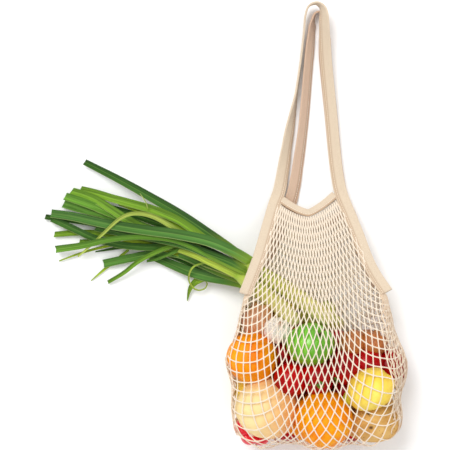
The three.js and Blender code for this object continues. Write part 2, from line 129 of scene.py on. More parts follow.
def join(name, skins):
    """One object of many skins, smooth, with its map named `surface` and its marks."""
    points, faces, uv, start = [], [], [], 0
    for one in skins:
        points.append(one["points"])
        faces += (one["quads"] + start).tolist() + (one["caps"] + start).tolist()
        uv.append(one["uv"])
        start += len(one["points"])
    mesh = bpy.data.meshes.new(name)
    mesh.from_pydata(np.concatenate(points).tolist(), [], faces)
    mesh.polygons.foreach_set("use_smooth", np.ones(len(faces), bool))
    layer = mesh.uv_layers.new(name="surface")
    layer.data.foreach_set("uv", np.concatenate(uv).astype(np.float32).ravel())
    for key in skins[0]["marks"]:
        values = np.concatenate([one["marks"][key] for one in skins]).astype(np.float32)
        kind, field = ("FLOAT_VECTOR", "vector") if values.ndim == 2 else ("FLOAT", "value")
        mesh.attributes.new(key, kind, "POINT").data.foreach_set(field, values.ravel())
    made = bpy.data.objects.new(name, mesh)
    bpy.context.scene.collection.objects.link(made)
    return made


def place(piece, finish, node):
    """Gives a piece its material, and puts it on the bag in the place of a solid."""
    piece.data.materials.append(finish)
    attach(piece, "root")
    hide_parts(node)
    return piece


sample = skin(np.array([[[1, 0, z], [0, 1, z], [-1, 0, z], [0, -1, z]] for z in (0, 1, 2)], float))
print("3 rings of 4 points:", len(sample["quads"]), "quads and", len(sample["caps"]), "triangles")

# %% [markdown]
# ## Materials from nodes
#
# Each finish is a small graph of nodes. A few helpers keep the cells short: `add` makes a node and
# wires its inputs, `ramp` turns an amount into a colour, and `cover` lays a second colour over a
# first where a pattern says so. Colours are given as a painter would pick them from a screen, and
# turned into the linear light that the shader works in.

# %% Helpers for materials
def paint(red, green, blue):
    """A screen colour, 0 to 255, as linear light: ((c + 0.055) / 1.055) ** 2.4 above a small foot."""
    c = np.array([red, green, blue]) / 255
    linear = np.where(c <= 0.04045, c / 12.92, ((c + 0.055) / 1.055) ** 2.4)
    return (*linear.tolist(), 1.0)


def feed(mat, socket, value):
    """Gives a socket its value: a number, a colour, or another node's output."""
    if isinstance(value, bpy.types.NodeSocket):
        mat.node_tree.links.new(value, socket)
    else:
        socket.default_value = value


def add(mat, kind, inputs=None, **settings):
    """Adds a shader node, with its settings, and feeds its inputs by name."""
    made = mat.node_tree.nodes.new("ShaderNode" + kind)
    for key, value in settings.items():
        setattr(made, key, value)
    for key, value in (inputs or {}).items():
        feed(mat, made.inputs[key], value)
    return made


def ramp(mat, amount, *stops):
    """A colour for each amount: `stops` are pairs of a place from 0 to 1 and a colour."""
    made = add(mat, "ValToRGB", {"Fac": amount})
    steps = made.color_ramp.elements
    while len(steps) < len(stops):
        steps.new(0.5)
    for step, (at, colour) in zip(steps, stops):
        step.position = at
        step.color = colour
    return made.outputs["Color"]


def maths(mat, work, *values):
    """A sum of numbers and outputs, worked out in the shader."""
    made = add(mat, "Math", operation=work)
    for socket, value in zip(made.inputs, values):
        feed(mat, socket, value)
    return made.outputs[0]


def noise(mat, scale, detail=3.0, where=None, roughness=0.5):
    """Cloudy noise in metres: `scale` is about how many blobs there are to a metre."""
    spot = where or add(mat, "TexCoord").outputs["Object"]
    inputs = {"Vector": spot, "Scale": scale, "Detail": detail, "Roughness": roughness}
    return add(mat, "TexNoise", inputs).outputs["Fac"]


def mark(mat, name, output="Fac"):
    """A mark that the mesh carries, as `skin` wrote it."""
    return add(mat, "Attribute", attribute_name=name).outputs[output]


def parts_of(mat, vector):
    """The three numbers of a vector, as outputs."""
    return add(mat, "SeparateXYZ", {"Vector": vector}).outputs


def surface_map(mat):
    """The piece's own map: across, and along."""
    return parts_of(mat, add(mat, "UVMap", uv_map="surface").outputs[0])


def mix(mat, amount, low, high, blend="MIX"):
    """From the first colour to the second, by an amount from 0 to 1."""
    made = add(mat, "Mix", data_type="RGBA", blend_type=blend)
    for index, value in ((0, amount), (6, low), (7, high)):  # the sockets that take colours
        feed(mat, made.inputs[index], value)
    return made.outputs[2]


def cover(mat, colour, over, amount, *stops):
    """Lays `over` on a colour. `stops` are pairs: an amount, and how much of `over` shows there."""
    share = ramp(mat, amount, *[(at, (much, much, much, 1)) for at, much in stops])
    return mix(mat, share, colour, over)


def finish_of(name, roughness, **sockets):
    """A new material, with its shader's plain values."""
    mat = bpy.data.materials.new(name)
    mat.use_nodes = True
    shader = mat.node_tree.nodes["Principled BSDF"]
    shader.inputs["Roughness"].default_value = roughness
    for key, value in sockets.items():
        shader.inputs[key.replace("_", " ")].default_value = value
    return mat


def wire(mat, colour, height=None, depth=0.0):
    """Joins a colour, and a height in metres of `depth`, to the material's shader."""
    shader = mat.node_tree.nodes["Principled BSDF"]
    mat.node_tree.links.new(colour, shader.inputs["Base Color"])
    if height is not None:
        bump = add(mat, "Bump", {"Height": height, "Distance": depth})
        mat.node_tree.links.new(bump.outputs[0], shader.inputs["Normal"])
    return mat


def mottled(name, roughness, dark, light, cloud, bumps, depth, **sockets):
    """A finish that drifts between two colours. `cloud` and `bumps` are scale and detail."""
    mat = finish_of(name, roughness, **sockets)
    colour = ramp(mat, noise(mat, *cloud), (0.3, dark), (0.7, light))
    return wire(mat, colour, noise(mat, *bumps), depth)


print("half of a screen's white is", round(paint(127.5, 0, 0)[0], 3), "of its light")

# %% [markdown]
# ## The surface that the net lies on
#
# A string bag takes its shape from what is in it. Each fruit is an ellipsoid. A soft union of them
# is a skin that clings to every fruit, and the tightest wrapping round all of them is a skin
# stretched flat between them. Real net lies between the two, so the surface is a blend of both
# distances. The solids of the frame were made in the same way, from the same places and sizes.

# %% What is in the bag
# the kind of each, the way its stem points, and its bulge in the net: middle x, y, z and half
# sizes in millimetres, and the turn about the upright in degrees
CONTENTS = {
    "orange_left": ("orange", (-0.2, 0.75, -0.5), (41, -200, 84, 39, 39, 39, 0)),
    "melon": ("melon", (-0.7, -0.3, -0.3), (60, -276, 76, 48, 47, 46, 0)),
    "orange_middle": ("orange", (0.3, 0.8, -0.4), (148, -291, 90, 43.5, 43.5, 43.5, 0)),
    "potato": ("potato", (1, 0, 0), (222, -296.5, 70, 42, 31.5, 32, 10)),
    "lemon": ("lemon", (-1, 0.05, -0.1), (216, -246, 110, 39, 30, 30, 24)),
    "apple": ("apple", (0.5, 0.62, 0.6), (127, -179, 109, 36.5, 32, 34, 0)),
    "tomato_a": ("tomato", (-0.3, 0.5, -0.6), (99, -231, 95, 27, 26, 26, 0)),
    "tomato_b": ("tomato", (0.16, -0.42, 0.9), (138, -229, 98, 26, 26, 26, 0)),
    "tomato_c": ("tomato", (-0.42, -0.75, 0.5), (177, -214, 97, 27, 26, 26, 0)),
    "tomato_d": ("tomato", (0.5, 0.5, -0.7), (214, -200, 88, 26, 26, 26, 0)),
    "tomato_e": ("tomato", (0.1, 0.5, -0.8), (247, -214, 62, 25, 30, 30, 0)),
    "onion_a": ("onion", (-0.6, 0.6, 0.1), (188, -177, 92, 21, 21, 21, 0)),
    "onion_b": ("onion", (0.3, 0.9, 0.0), (222, -176, 80, 21, 21, 21, 0)),
    "onion_left": ("onion", (-0.2, 0.9, -0.1), (49, -143, 72, 25, 29, 27, 0)),
    "garlic": ("garlic", (0.3, 0.6, 0.7), (82, -154, 96, 17, 17, 16, 0)),
    "radish_a": ("radish", (-0.5, 0.1, -0.8), (31, -303, 60, 14, 14, 14, 0)),
    "radish_b": ("radish", (-0.3, -0.5, -0.8), (42, -317, 54, 14, 14, 14, 0)),
    "radish_c": ("radish", (0.1, -0.5, -0.8), (56, -321, 48, 13, 13, 13, 0)),
    "back_apple": ("red_apple", (-0.4, 0.3, -0.85), (58, -212, 35, 37, 35, 36, 0)),
    "back_orange": ("orange", (0.4, -0.5, -0.75), (112, -284, 40, 41, 41, 41, 0)),
    "back_potato": ("potato", (1, 0, 0), (206, -273, 35, 50, 36, 34, 12)),
    "back_pear": ("pear", (0.1, 1, -0.15), (132, -196, 36, 40, 36, 37, 0)),
    "back_onion": ("onion", (0.9, 0.2, -0.2), (214, -192, 33, 35, 33, 34, 0)),
    "back_lemon": ("lemon", (-0.9, 0.4, 0), (74, -140, 34, 38, 30, 34, 0)),
    "low_pear": ("pear", (0.4, 1, 0.1), (146, -142, 36, 36, 30, 36, 0)),
}
SLACK = (214, -176, 34, 31, 30, 32, 0)  # slack net behind the onions, with nothing in it
HEART = (143, -216, 64, 92, 82, 46, 0)  # the middle of the heap, which holds the net out
MOUTH = [  # where the bands and the hems hold the net
    (84, 38, 12), (126, 14, 26), (168, 46, 10), (30, -104, 96), (242, -102, 73),
    (94, 18, 0), (186, 22, 0), (36, -96, 0), (232, -92, 0),
]
SOFT = 8 * MM  # how softly one fruit's skin goes over into the next
TAUT, TAUT_LOW = 0.58, 0.25  # how far the net is drawn straight, above and at the very foot
PULLS = 700

BULGES = np.array([*[body for _, _, body in CONTENTS.values()], SLACK, HEART], float)
MIDDLES = BULGES[:, :3] * MM
HALVES = BULGES[:, 3:6] * MM
TURNS = np.radians(BULGES[:, 6])


def turned(v):
    """Vectors in each bulge's own axes: turned back about the upright."""
    c, s = np.cos(TURNS), np.sin(TURNS)
    return np.stack([v[..., 0] * c + v[..., 1] * s, v[..., 1] * c - v[..., 0] * s, v[..., 2]], -1)


def directions(count):
    """Even directions all round: heights in equal steps, each a golden angle further on."""
    i = np.arange(count)
    z = 1 - (2 * i + 1) / count
    turn = i * PI * (3 - np.sqrt(5))
    flat = np.sqrt(1 - z * z)
    return np.stack([flat * np.cos(turn), flat * np.sin(turn), z], -1)


WAYS = directions(PULLS)
inside = turned(WAYS[:, None, :] * np.ones((1, len(BULGES), 1)))
FRUIT_REACH = (WAYS @ MIDDLES.T + length_of(inside * HALVES)).max(1)
BAG_REACH = np.maximum(FRUIT_REACH, (WAYS @ (np.array(MOUTH, float) * MM).T).max(1))
print(len(BULGES), "bulges, wrapped from", PULLS, "directions")

# %% Distance outside the net
HEM_Y, HEM_HEIGHT, PANEL_SLOPE, RIGHT_DROP = 15 * MM, 28 * MM, 0.58, 24 * MM
FOOT_Y, CLOSED_Y = -106 * MM, -168 * MM  # the side openings' foot, and where the sack is closed
SEAM = 4 * MM  # how softly the front panel goes over into the sack
PANEL_CUT, PINCH_CUT = 0.9, 0.93  # how steeply the net ends past those sides
FLOOR_NET = 1.4 * MM  # height of the cords that lie on the floor
UNDER_BAND = 1.5 * MM  # how far the front net lies under the plane of its panel
FOOT_FROM, FOOT_TO = 285 * MM, 325 * MM  # where the net is less and less taut, down to its foot
# sides, as distances down and their x: of the front panel, and of the net beside the bands' feet
PANEL_SIDES = [(-42, 92, 168), (78, 36, 44)], [(-48, 92, 168), (174, 234, 240)]
PINCH_DOWN = (100, 125, 162, 197, 232)
PINCH_SIDES = [PINCH_DOWN, (31, 27, 18, 6, -120)], [PINCH_DOWN, (240, 245, 256, 269, 420)]


def panel_plane(x, y):
    """Height of the front panel: it rises evenly from the hem, and its right edge hangs lower."""
    down = HEM_Y - y
    drop = RIGHT_DROP * smooth(x, 150 * MM, 235 * MM) * smooth(down, 20 * MM, 120 * MM)
    return HEM_HEIGHT + PANEL_SLOPE * down - drop


def soft_least(*values, round_by):
    """The least of some values, with its corner rounded: -k log sum exp(-v / k)."""
    stack = np.stack(values)
    least = stack.min(0)
    return least - round_by * np.log(np.exp(-(stack - least) / round_by).sum(0))


def past_sides(x, y, left, right):
    """How far x is past the nearer side. A side is its x at a few distances down."""
    left, right = np.array(left) * MM, np.array(right) * MM
    return np.maximum(np.interp(-y, *left) - x, x - np.interp(-y, *right))


def outside_net(p):
    """Distance outside the net: a blend of the clinging and the wrapping skin, or of the panel."""
    x, y, z = p[..., 0], p[..., 1], p[..., 2]
    local = turned(p[..., None, :] - MIDDLES)
    reach, slope = length_of(local / HALVES), length_of(local / HALVES**2)
    far = reach * (reach - 1) / np.maximum(slope, 1e-9)
    clinging = soft_least(*np.moveaxis(far, -1, 0), round_by=SOFT)
    along = p @ WAYS.T
    down = smooth(-y, -FOOT_Y, -CLOSED_Y)
    reach_here = lerp(FRUIT_REACH, BAG_REACH, down[..., None])
    taut = lerp(TAUT, TAUT_LOW, smooth(-y, FOOT_FROM, FOOT_TO))
    sack = lerp(clinging, (along - reach_here).max(-1), taut)
    neck = lerp(clinging, (along - BAG_REACH).max(-1), taut)
    tilt = 1 / np.hypot(1, PANEL_SLOPE)
    front = lerp((z - panel_plane(x, y)) * tilt, neck, down)
    front = front + PANEL_CUT * np.maximum(0, past_sides(x, y, *PANEL_SIDES))
    net = soft_least(sack, front, round_by=SEAM)
    return np.maximum(np.maximum(net, PINCH_CUT * past_sides(x, y, *PINCH_SIDES)), FLOOR_NET - z)


def outside(p, most=3000):
    """`outside_net` for any number of points, a part at a time, to keep memory small."""
    flat = p.reshape(-1, 3)
    done = [outside_net(flat[i : i + most]) for i in range(0, len(flat), most)]
    return np.concatenate(done).reshape(p.shape[:-1])


def uphill(p, step=1 * MM):
    """The way out of the net at points near it, and how far outside they are."""
    here = outside(p)
    slopes = [outside(p + axis * step) - here for axis in np.eye(3)]
    return np.stack(slopes, -1) / step, here


def onto_net(p):
    """Moves points to the net along its slope: one Newton step."""
    slope, here = uphill(p)
    return p - (here / np.maximum((slope**2).sum(-1), 0.25))[..., None] * slope


print(f"the heap's middle is {-outside_net(MIDDLES[-1:])[0] / MM:.0f} mm inside the net")

# %% [markdown]
# ## Where the knots of the net are
#
# The net is one knitted sheet of diamonds, 30 wide, that runs from the front hem down the front,
# round the foot of the bag and up the back to the other hem. Its sides are sewn to the handle bands,
# and gathered at the side openings between them. So the rows of knots are pulled up at the sides
# and hang in a curve like a smile, and this curve is what makes a string bag look real. Knots are
# first laid along loops round the heap, then drawn to the middle of their neighbours, as the pull
# of the cords does, and set back on the surface each time.

# %% Rows of the two panels
COLUMNS = 30
PANEL_ROWS = 12
ROWS = 64
ROW, COLUMN = np.meshgrid(np.arange(ROWS + 1), np.arange(COLUMNS + 1), indexing="ij")
ODD = ROW % 2 == 1
REAL = ~(ODD & (COLUMN == COLUMNS))  # odd rows have one knot less
SHARE = np.clip((COLUMN + 0.5 * ODD) / COLUMNS, 0, 1)
FOOT_ROW, BACK_FOOT_ROW = PANEL_ROWS, ROWS - PANEL_ROWS


def gathered(share, amount):
    """Shares across the net, closer together in the middle by `amount`."""
    s = 2 * share - 1
    return 0.5 + 0.5 * (s * (1 - amount) + amount * s**3)


def panel_row(t, share, hem_ends, foot_ends, sag_hem, sag_foot):
    """Plan of a panel's row: t is 0 at the hem and 1 at the feet of the bands, and the row sags."""
    t = np.asarray(t, float)[..., None]
    hem, foot = np.array(hem_ends) * MM, np.array(foot_ends) * MM
    left, right = lerp(hem[0], foot[0], t), lerp(hem[1], foot[1], t)
    line = lerp(left, right, share[..., None])
    sag = lerp(sag_hem, sag_foot, t[..., 0]) * MM * (1 - np.abs(2 * share - 1) ** 1.6)
    return line - np.stack([0 * sag, sag], -1)


def front_row(row, share):
    """A row of the front panel, a little under its plane."""
    t = row / PANEL_ROWS
    plan = panel_row(t, share, [(80, 32), (172, 40)], [(33, -104), (238, -103)], 25, 26)
    return np.concatenate([plan, panel_plane(*np.moveaxis(plan, -1, 0))[..., None] - UNDER_BAND], -1)


def back_row(row, share):
    """A row of the back panel, which lies on the floor."""
    t = (ROWS - row) / PANEL_ROWS
    plan = panel_row(t, share, [(92, 12), (188, 16)], [(38, -94), (230, -90)], 23, 22)
    return np.concatenate([plan, np.full(plan.shape[:-1] + (1,), FLOOR_NET)], -1)


GATHERED = 0.42  # how much closer the columns are in the middle of the sack
GATHER = lerp(-0.12, GATHERED, smooth(np.minimum(ROW, ROWS - ROW), 0, 13))
ACROSS = gathered(SHARE, GATHER)
knots = np.zeros(ROW.shape + (3,))
knots[ROW <= FOOT_ROW] = front_row(ROW, ACROSS)[ROW <= FOOT_ROW]
knots[ROW >= BACK_FOOT_ROW] = back_row(ROW, ACROSS)[ROW >= BACK_FOOT_ROW]
print("panels:", int(REAL[(ROW <= FOOT_ROW) | (ROW >= BACK_FOOT_ROW)].sum()), "knots")

# %% Loops of the columns round the heap
CENTRE = np.array([138, -175, 60]) * MM
LEFT_END, RIGHT_END = np.array([10, -128, 50]) * MM, np.array([262, -128, 40]) * MM
NEAR_END = 0.18  # the share of a loop that bends to meet the rows of the panels


def leaves_net(ways, start=CENTRE, far=300 * MM, step=5 * MM):
    """Where rays from `start` leave the net for good: found from outside, then halved down."""
    reach = np.zeros(ways.shape[:-1])
    for distance in np.arange(far, 0, -step):
        found = (outside(start + ways * distance) < 0) & (reach == 0)
        reach[found] = distance
    low, high = reach, reach + step
    for _ in range(5):
        middle = (low + high) / 2
        is_in = outside(start + ways * middle[..., None]) < 0
        low, high = np.where(is_in, middle, low), np.where(is_in, high, middle)
    return start + ways * high[..., None]


def column_loops(share, steps=90):
    """Loops from the front, round the foot to the back: rays that lean from one end to the other.

    A ray's way is a blend (1-s)^2 left + 2.6 s(1-s) turning + s^2 right, with `turning` going
    from the front through the foot of the bag to the back.
    """
    turn = np.radians(np.linspace(-42, 222, steps + 1))[:, None] * np.ones((1, len(share)))
    turning = np.stack([0 * turn, -np.sin(turn), np.cos(turn)], -1)
    left, right = unit(LEFT_END - CENTRE), unit(RIGHT_END - CENTRE)
    s = share[None, :, None]
    return leaves_net(unit((1 - s) ** 2 * left + s**2 * right + 2.6 * s * (1 - s) * turning))


def spread_along(loop, shares):
    """Points at even shares of the length of each loop."""
    length = length_of(np.diff(loop, axis=0)).cumsum(0)
    length = np.concatenate([0 * length[:1], length]) / length[-1]
    columns = [
        np.stack([np.interp(shares, length[:, k], loop[:, k, i]) for i in range(3)], -1)
        for k in range(loop.shape[1])
    ]
    return np.stack(columns, 1)


for odd in (0, 1):
    count = COLUMNS + 1 - odd
    share = gathered((np.arange(count) + 0.5 * odd) / COLUMNS, GATHERED)
    loop = column_loops(share)
    f = np.linspace(0, 1, len(loop))[:, None, None]
    near_front, near_back = (np.clip(1 - g / NEAR_END, 0, 1) ** 2 for g in (f, 1 - f))
    loop += (front_row(np.full(count, FOOT_ROW), share) - loop[0]) * near_front
    loop += (back_row(np.full(count, BACK_FOOT_ROW), share) - loop[-1]) * near_back
    rows = np.arange(FOOT_ROW + odd, BACK_FOOT_ROW + 1, 2)
    spread = spread_along(loop, (rows - FOOT_ROW) / (BACK_FOOT_ROW - FOOT_ROW))
    knots[rows, :count] = spread
print("loops laid round the heap")

# %% Pull of the cords: each knot goes towards the middle of its neighbours
ROUNDS = 60
ROW_PULL, COLUMN_PULL, CORD_PULL = 0.15, 0.3, 0.55
WEIGHT = 0.2 * MM  # how far a knot sinks in each round


def rim(t, front, back, out, down):
    """The side opening's rim, from the front band's foot to the back band's, bowed out and down."""
    line = lerp(np.array(front) * MM, np.array(back) * MM, t[:, None])
    return line + np.array([out, -down, 0]) * MM * np.sin(PI * t)[:, None]


rows = np.arange(FOOT_ROW, BACK_FOOT_ROW + 1, 2)
t = (rows - FOOT_ROW) / (BACK_FOOT_ROW - FOOT_ROW)
knots[rows, 0] = rim(t, (33, -104, 95), (38, -94, 1.4), -3, 24)
knots[rows, COLUMNS] = rim(t, (238, -103, 73), (230, -90, 1.4), 7, 26)
sewn = ~REAL | (ROW == 0) | (ROW == ROWS) | (~ODD & ((COLUMN == 0) | (COLUMN == COLUMNS)))
on_front, on_back = ROW < FOOT_ROW, ROW > BACK_FOOT_ROW
EVEN_ROWS, ODD_ROWS = np.arange(2, ROWS - 1, 2), np.arange(1, ROWS, 2)

for round_number in range(ROUNDS):
    pull, total = np.zeros_like(knots), np.zeros(ROW.shape)
    beside = REAL[:, :-2] & REAL[:, 2:] & REAL[:, 1:-1]
    pull[:, 1:-1] += ROW_PULL * beside[..., None] * (knots[:, :-2] + knots[:, 2:]) / 2
    total[:, 1:-1] += ROW_PULL * beside
    pull[2:-2] += COLUMN_PULL * (knots[:-4] + knots[4:]) / 2
    total[2:-2] += COLUMN_PULL
    two = knots[EVEN_ROWS - 1] + knots[EVEN_ROWS + 1]
    pull[EVEN_ROWS, 1:-1] += CORD_PULL * (two[:, :-2] + two[:, 1:-1]) / 4
    total[EVEN_ROWS, 1:-1] += CORD_PULL
    two = knots[ODD_ROWS - 1] + knots[ODD_ROWS + 1]
    pull[ODD_ROWS, :-1] += CORD_PULL * (two[:, :-1] + two[:, 1:]) / 4
    total[ODD_ROWS, :-1] += CORD_PULL
    free = ~sewn & (total > 0)
    wanted = pull / np.maximum(total, 1e-9)[..., None]
    knots[free] = lerp(knots, wanted, 0.6)[free]
    in_sack = free & ~on_front & ~on_back
    knots[in_sack, 1] -= WEIGHT
    knots[on_front, 2] = panel_plane(knots[on_front, 0], knots[on_front, 1]) - UNDER_BAND
    knots[on_back, 2] = FLOOR_NET
    if round_number % 4 == 3:
        knots[in_sack] = onto_net(knots[in_sack])
for _ in range(3):
    knots[in_sack] = onto_net(knots[in_sack])
left_over = np.abs(outside(knots[in_sack])).max() / MM
print(f"the knots lie within {left_over:.2f} mm of the surface")
step = length_of(np.diff(knots[:, 8:22], axis=0)) / MM
print(f"knots: {int(REAL.sum())}, and a cord between two is {np.median(step):.1f} mm long")

# %% [markdown]
# ## Cords between the knots
#
# Each cord runs slantwise from knot to knot, from one edge of the net to another. A cord is a tube:
# a ring carried along a smooth curve through the knots, a little thicker at each knot, where two
# cords are knitted together. The twist of its strands is in the material, which follows the tube by
# its own map: once round across, and metres along.

# %% Paths of the cords
STEPS = 6  # rings from one knot to the next
CORD = 0.92 * MM  # half as thick as a cord
KNOT = 0.5 * MM  # how much thicker a knot is
KNOT_LENGTH = 2.0 * MM  # and how far it is thicker, to each side
OVER = 0.8 * MM  # how far the middle of a cord lies over the surface
RIM = 1.5 * MM  # half as thick as the cord round a side opening


def slant_path(first_row, last_row, share, lean):
    """Rows and columns of a cord's knots from row to row, stepping half a column each time."""
    path = []
    for row in range(first_row, last_row + 1):
        column = share / 2 + lean * (row - first_row) / 2 - 0.5 * (row % 2)
        if column < 0 or column > COLUMNS - (row % 2):
            break
        path.append((row, int(round(column))))
    return path


def all_paths(lean):
    """All cords that lean one way. `share` counts half columns from the left edge."""
    starts = [(0, share) for share in range(0, 2 * COLUMNS + 1, 2)]
    edge = 0 if lean > 0 else 2 * COLUMNS
    starts += [(row, edge) for row in range(2, ROWS, 2)]
    paths = [slant_path(row, ROWS, share, lean) for row, share in starts]
    return [path for path in paths if len(path) > 1]


def curve_through(points, steps):
    """A smooth curve through points, `steps` places from each to the next.

    A cubic joins two points. Its slopes come from their neighbours, and each gap counts as the
    root of its length, so the curve keeps close to its points where they are uneven.
    """
    ends = np.concatenate([2 * points[:1] - points[1:2], points, 2 * points[-1:] - points[-2:-1]])
    gap = length_of(np.diff(ends, axis=0))[:, None] ** 0.5
    w, x, y, z = ends[:-3], ends[1:-2], ends[2:-1], ends[3:]
    a, b, c = gap[:-2], gap[1:-1], gap[2:]
    m = (((x - w) / a - (y - w) / (a + b) + (y - x) / b) * b)[:, None]
    n = (((y - x) / b - (z - x) / (b + c) + (z - y) / c) * b)[:, None]
    t = (np.arange(steps) / steps)[None, :, None]
    x, y = x[:, None], y[:, None]
    curve = (2 * t**3 - 3 * t**2 + 1) * x + (t**3 - 2 * t**2 + t) * m
    curve = curve + (3 * t**2 - 2 * t**3) * y + (t**3 - t**2) * n
    return np.concatenate([curve.reshape(-1, 3), points[-1:]])


def between(values, steps):
    """Values at the same places as `curve_through`, in straight steps."""
    values = np.asarray(values, float)
    at = np.arange((len(values) - 1) * steps + 1) / steps
    low = np.minimum(at.astype(int), len(values) - 2)
    f = (at - low).reshape(-1, *[1] * (values.ndim - 1))
    return values[low] * (1 - f) + values[low + 1] * f


def tube(path, normals, radii, sides):
    """Rings along a path: radius times (cos turn across + sin turn up), where up is the normal."""
    ahead = unit(np.gradient(path, axis=0))
    across = unit(np.cross(normals, ahead))
    up = np.cross(ahead, across)
    turn = 2 * PI * np.arange(sides) / sides
    return path[:, None] + np.reshape(radii, (-1, 1, 1)) * about(across, up, turn)


normals = uphill(knots)[0]
normals[on_front] = unit(np.array([0, PANEL_SLOPE, 1]))
normals[on_back | (knots[..., 2] < FLOOR_NET + 0.2 * MM)] = np.array([0, 0, -1])
normals = unit(normals)
print("cords leaning right:", len(all_paths(1)), "and left:", len(all_paths(-1)))

# %% Make the cords of the front and of the back
MOST_OUT = 3.5 * MM  # how far a cord may be moved in one go


def over_the_heap(curve, rows, columns):
    """Moves the parts of a cord that would cut through the heap out to the net's surface."""
    share = smooth(np.minimum(rows - FOOT_ROW, BACK_FOOT_ROW - rows), 0, 2)
    share = share * smooth(np.minimum(columns, COLUMNS - columns), 0, 2)
    for _ in range(2):
        slope, here = uphill(curve)
        deep = np.clip(here - OVER, -MOST_OUT, 0) * share
        move = -deep[:, None] * unit(slope)
        move[1:-1] = (move[:-2] + 2 * move[1:-1] + move[2:]) / 4
        curve = curve + move
    return curve


def cords_of(first_row, last_row, sides=7):
    """Tubes of the cords between two rows, both leans, thicker round each knot."""
    tubes = []
    for path in [*all_paths(1), *all_paths(-1)]:
        part = [(r, c) for r, c in path if first_row <= r <= last_row]
        if len(part) < 2:
            continue
        rows, columns = np.array(part).T
        points, ways = knots[rows, columns], normals[rows, columns]
        points = points + ways * LIFT[rows, columns][:, None]
        curve = curve_through(points, STEPS)
        curve = over_the_heap(curve, between(rows, STEPS), between(columns, STEPS))
        curve[:, 2] = np.maximum(curve[:, 2], CORD + 0.55 * MM)
        ways = unit(between(ways, STEPS))
        to_knot = np.abs((np.arange(len(curve)) / STEPS + 0.5) % 1 - 0.5)
        length = np.repeat(length_of(np.diff(points, axis=0)), STEPS)
        away = to_knot * np.append(length, length[-1])
        radii = CORD + KNOT * np.exp(-((away / KNOT_LENGTH) ** 2))
        tubes.append(skin(tube(curve, ways, radii, sides)))
    return tubes


# a cord lies on the surface, and goes in under a band
FROM_EDGE = np.minimum(np.minimum(ROW, ROWS - ROW), 2 * np.minimum(SHARE, 1 - SHARE) * COLUMNS)
LIFT = lerp(-OVER, OVER, smooth(FROM_EDGE, 0.4, 2.0))
TURN_ROW = 34  # about where the net goes round the foot of the bag
front_cords = join("net_front", cords_of(0, TURN_ROW))
back_cords = join("net_back", cords_of(TURN_ROW, ROWS))
print("faces of the net:", len(front_cords.data.polygons), "and", len(back_cords.data.polygons))

# %% Knitted cotton cord
def cord_finish(name, light, dark):
    """Strands that wind round the cord: |sin| of once round plus the way along."""
    mat = finish_of(name, 0.85, Sheen_Weight=0.25, Sheen_Roughness=0.5)
    across, along, _ = surface_map(mat)
    wind = maths(mat, "MULTIPLY_ADD", along, 1 / (1.9 * MM), across)
    strand = maths(mat, "ABSOLUTE", maths(mat, "SINE", maths(mat, "MULTIPLY", wind, PI)))
    fuzz = noise(mat, 900, 4)
    shade = maths(mat, "MULTIPLY_ADD", fuzz, 0.5, maths(mat, "MULTIPLY", strand, 0.6))
    colour = ramp(mat, shade, (0.1, dark), (0.62, light))
    return wire(mat, colour, strand, 0.35 * MM)


cotton_cord = cord_finish("cotton_cord", paint(246, 232, 212), paint(198, 170, 144))
for cords in (front_cords, back_cords):
    place(cords, cotton_cord, "net_bag")
print("net finished")

# %% Cords along the side openings
rim_rows = np.arange(FOOT_ROW, BACK_FOOT_ROW + 1, 2)
rims = []
for column in (0, COLUMNS):
    ways = between(normals[rim_rows, column], 4)
    curve = curve_through(knots[rim_rows, column], 4) + unit(ways) * OVER
    curve[:, 2] = np.maximum(curve[:, 2], RIM + 0.2 * MM)
    rims.append(skin(tube(curve, unit(ways), np.full(len(curve), RIM), 8)))
place(join("net_rims", rims), cotton_cord, "net_bag")
print("rims finished")

# %% [markdown]
# ## Gathered sides
#
# Below each side opening the net is bunched up: the cords run down the side close together, and
# lean on each other by turns, so that only narrow slits are left between them. Each cord is found
# by rays that leave an upright axis inside the heap, at an angle that sways from side to side.

# %% Cords of the gathered sides
SIDE_STEPS, SWAYS = 110, 19


def side_cords(foot, axis_x, axis_z, angles, low_y):
    """Cords from a band's foot down one side: rays at `angles` that sway by half their spacing."""
    t = np.linspace(0, 1, SIDE_STEPS)[:, None]
    angles = np.radians(angles)[None, :]
    apart = np.abs(angles[0, 1] - angles[0, 0])
    turns = np.where(np.arange(angles.shape[1]) % 2, 1, -1)[None, :]
    to_foot = np.arctan2(foot[2] - axis_z, foot[0] - axis_x) % (2 * PI)
    angle = lerp(to_foot + (angles - angles.mean()) * 0.16, angles, smooth(t, 0, 0.3))
    angle = lerp(angle, angles.mean() + (angle - angles.mean()) * 0.7, smooth(t, 0.5, 1))
    angle = angle + 0.42 * apart * turns * np.sin(PI * SWAYS * t) * smooth(t, 0.02, 0.2)
    y = lerp(foot[1], low_y, t) + 0 * angle
    start = np.stack([axis_x + 0 * y, y, axis_z + 0 * y], -1) * MM
    way = np.stack([np.cos(angle), 0 * y, np.sin(angle)], -1)
    on_net = leaves_net(way, start)
    out = unit(uphill(on_net)[0])
    tubes = []
    for k in range(angles.shape[1]):
        path = on_net[:, k] + out[:, k] * 1.1 * MM
        path[1:-1] = (path[:-2] + path[1:-1] + path[2:]) / 3
        tubes.append(skin(tube(path, out[:, k], np.full(len(path), 0.95 * MM), 6)))
    return tubes


longer = 20 * (np.arange(15) % 3 == 1)  # every third cord goes on round the corner
right_side = side_cords((236, -105, 72), 205, 48, np.linspace(-20, 60, 15), -292 - longer)
left_side = side_cords((36, -106, 92), 66, 62, np.linspace(208, 150, 9), -296 - longer[:9])
# the same cotton as the net, painted darker: painted shade of the bunched sides
shaded_packed_cord = cord_finish("shaded_packed_cord", paint(230, 206, 178), paint(178, 146, 118))
place(join("gathered_sides", right_side + left_side), shaded_packed_cord, "net_bag")
print("gathered sides:", len(right_side), "and", len(left_side), "cords")

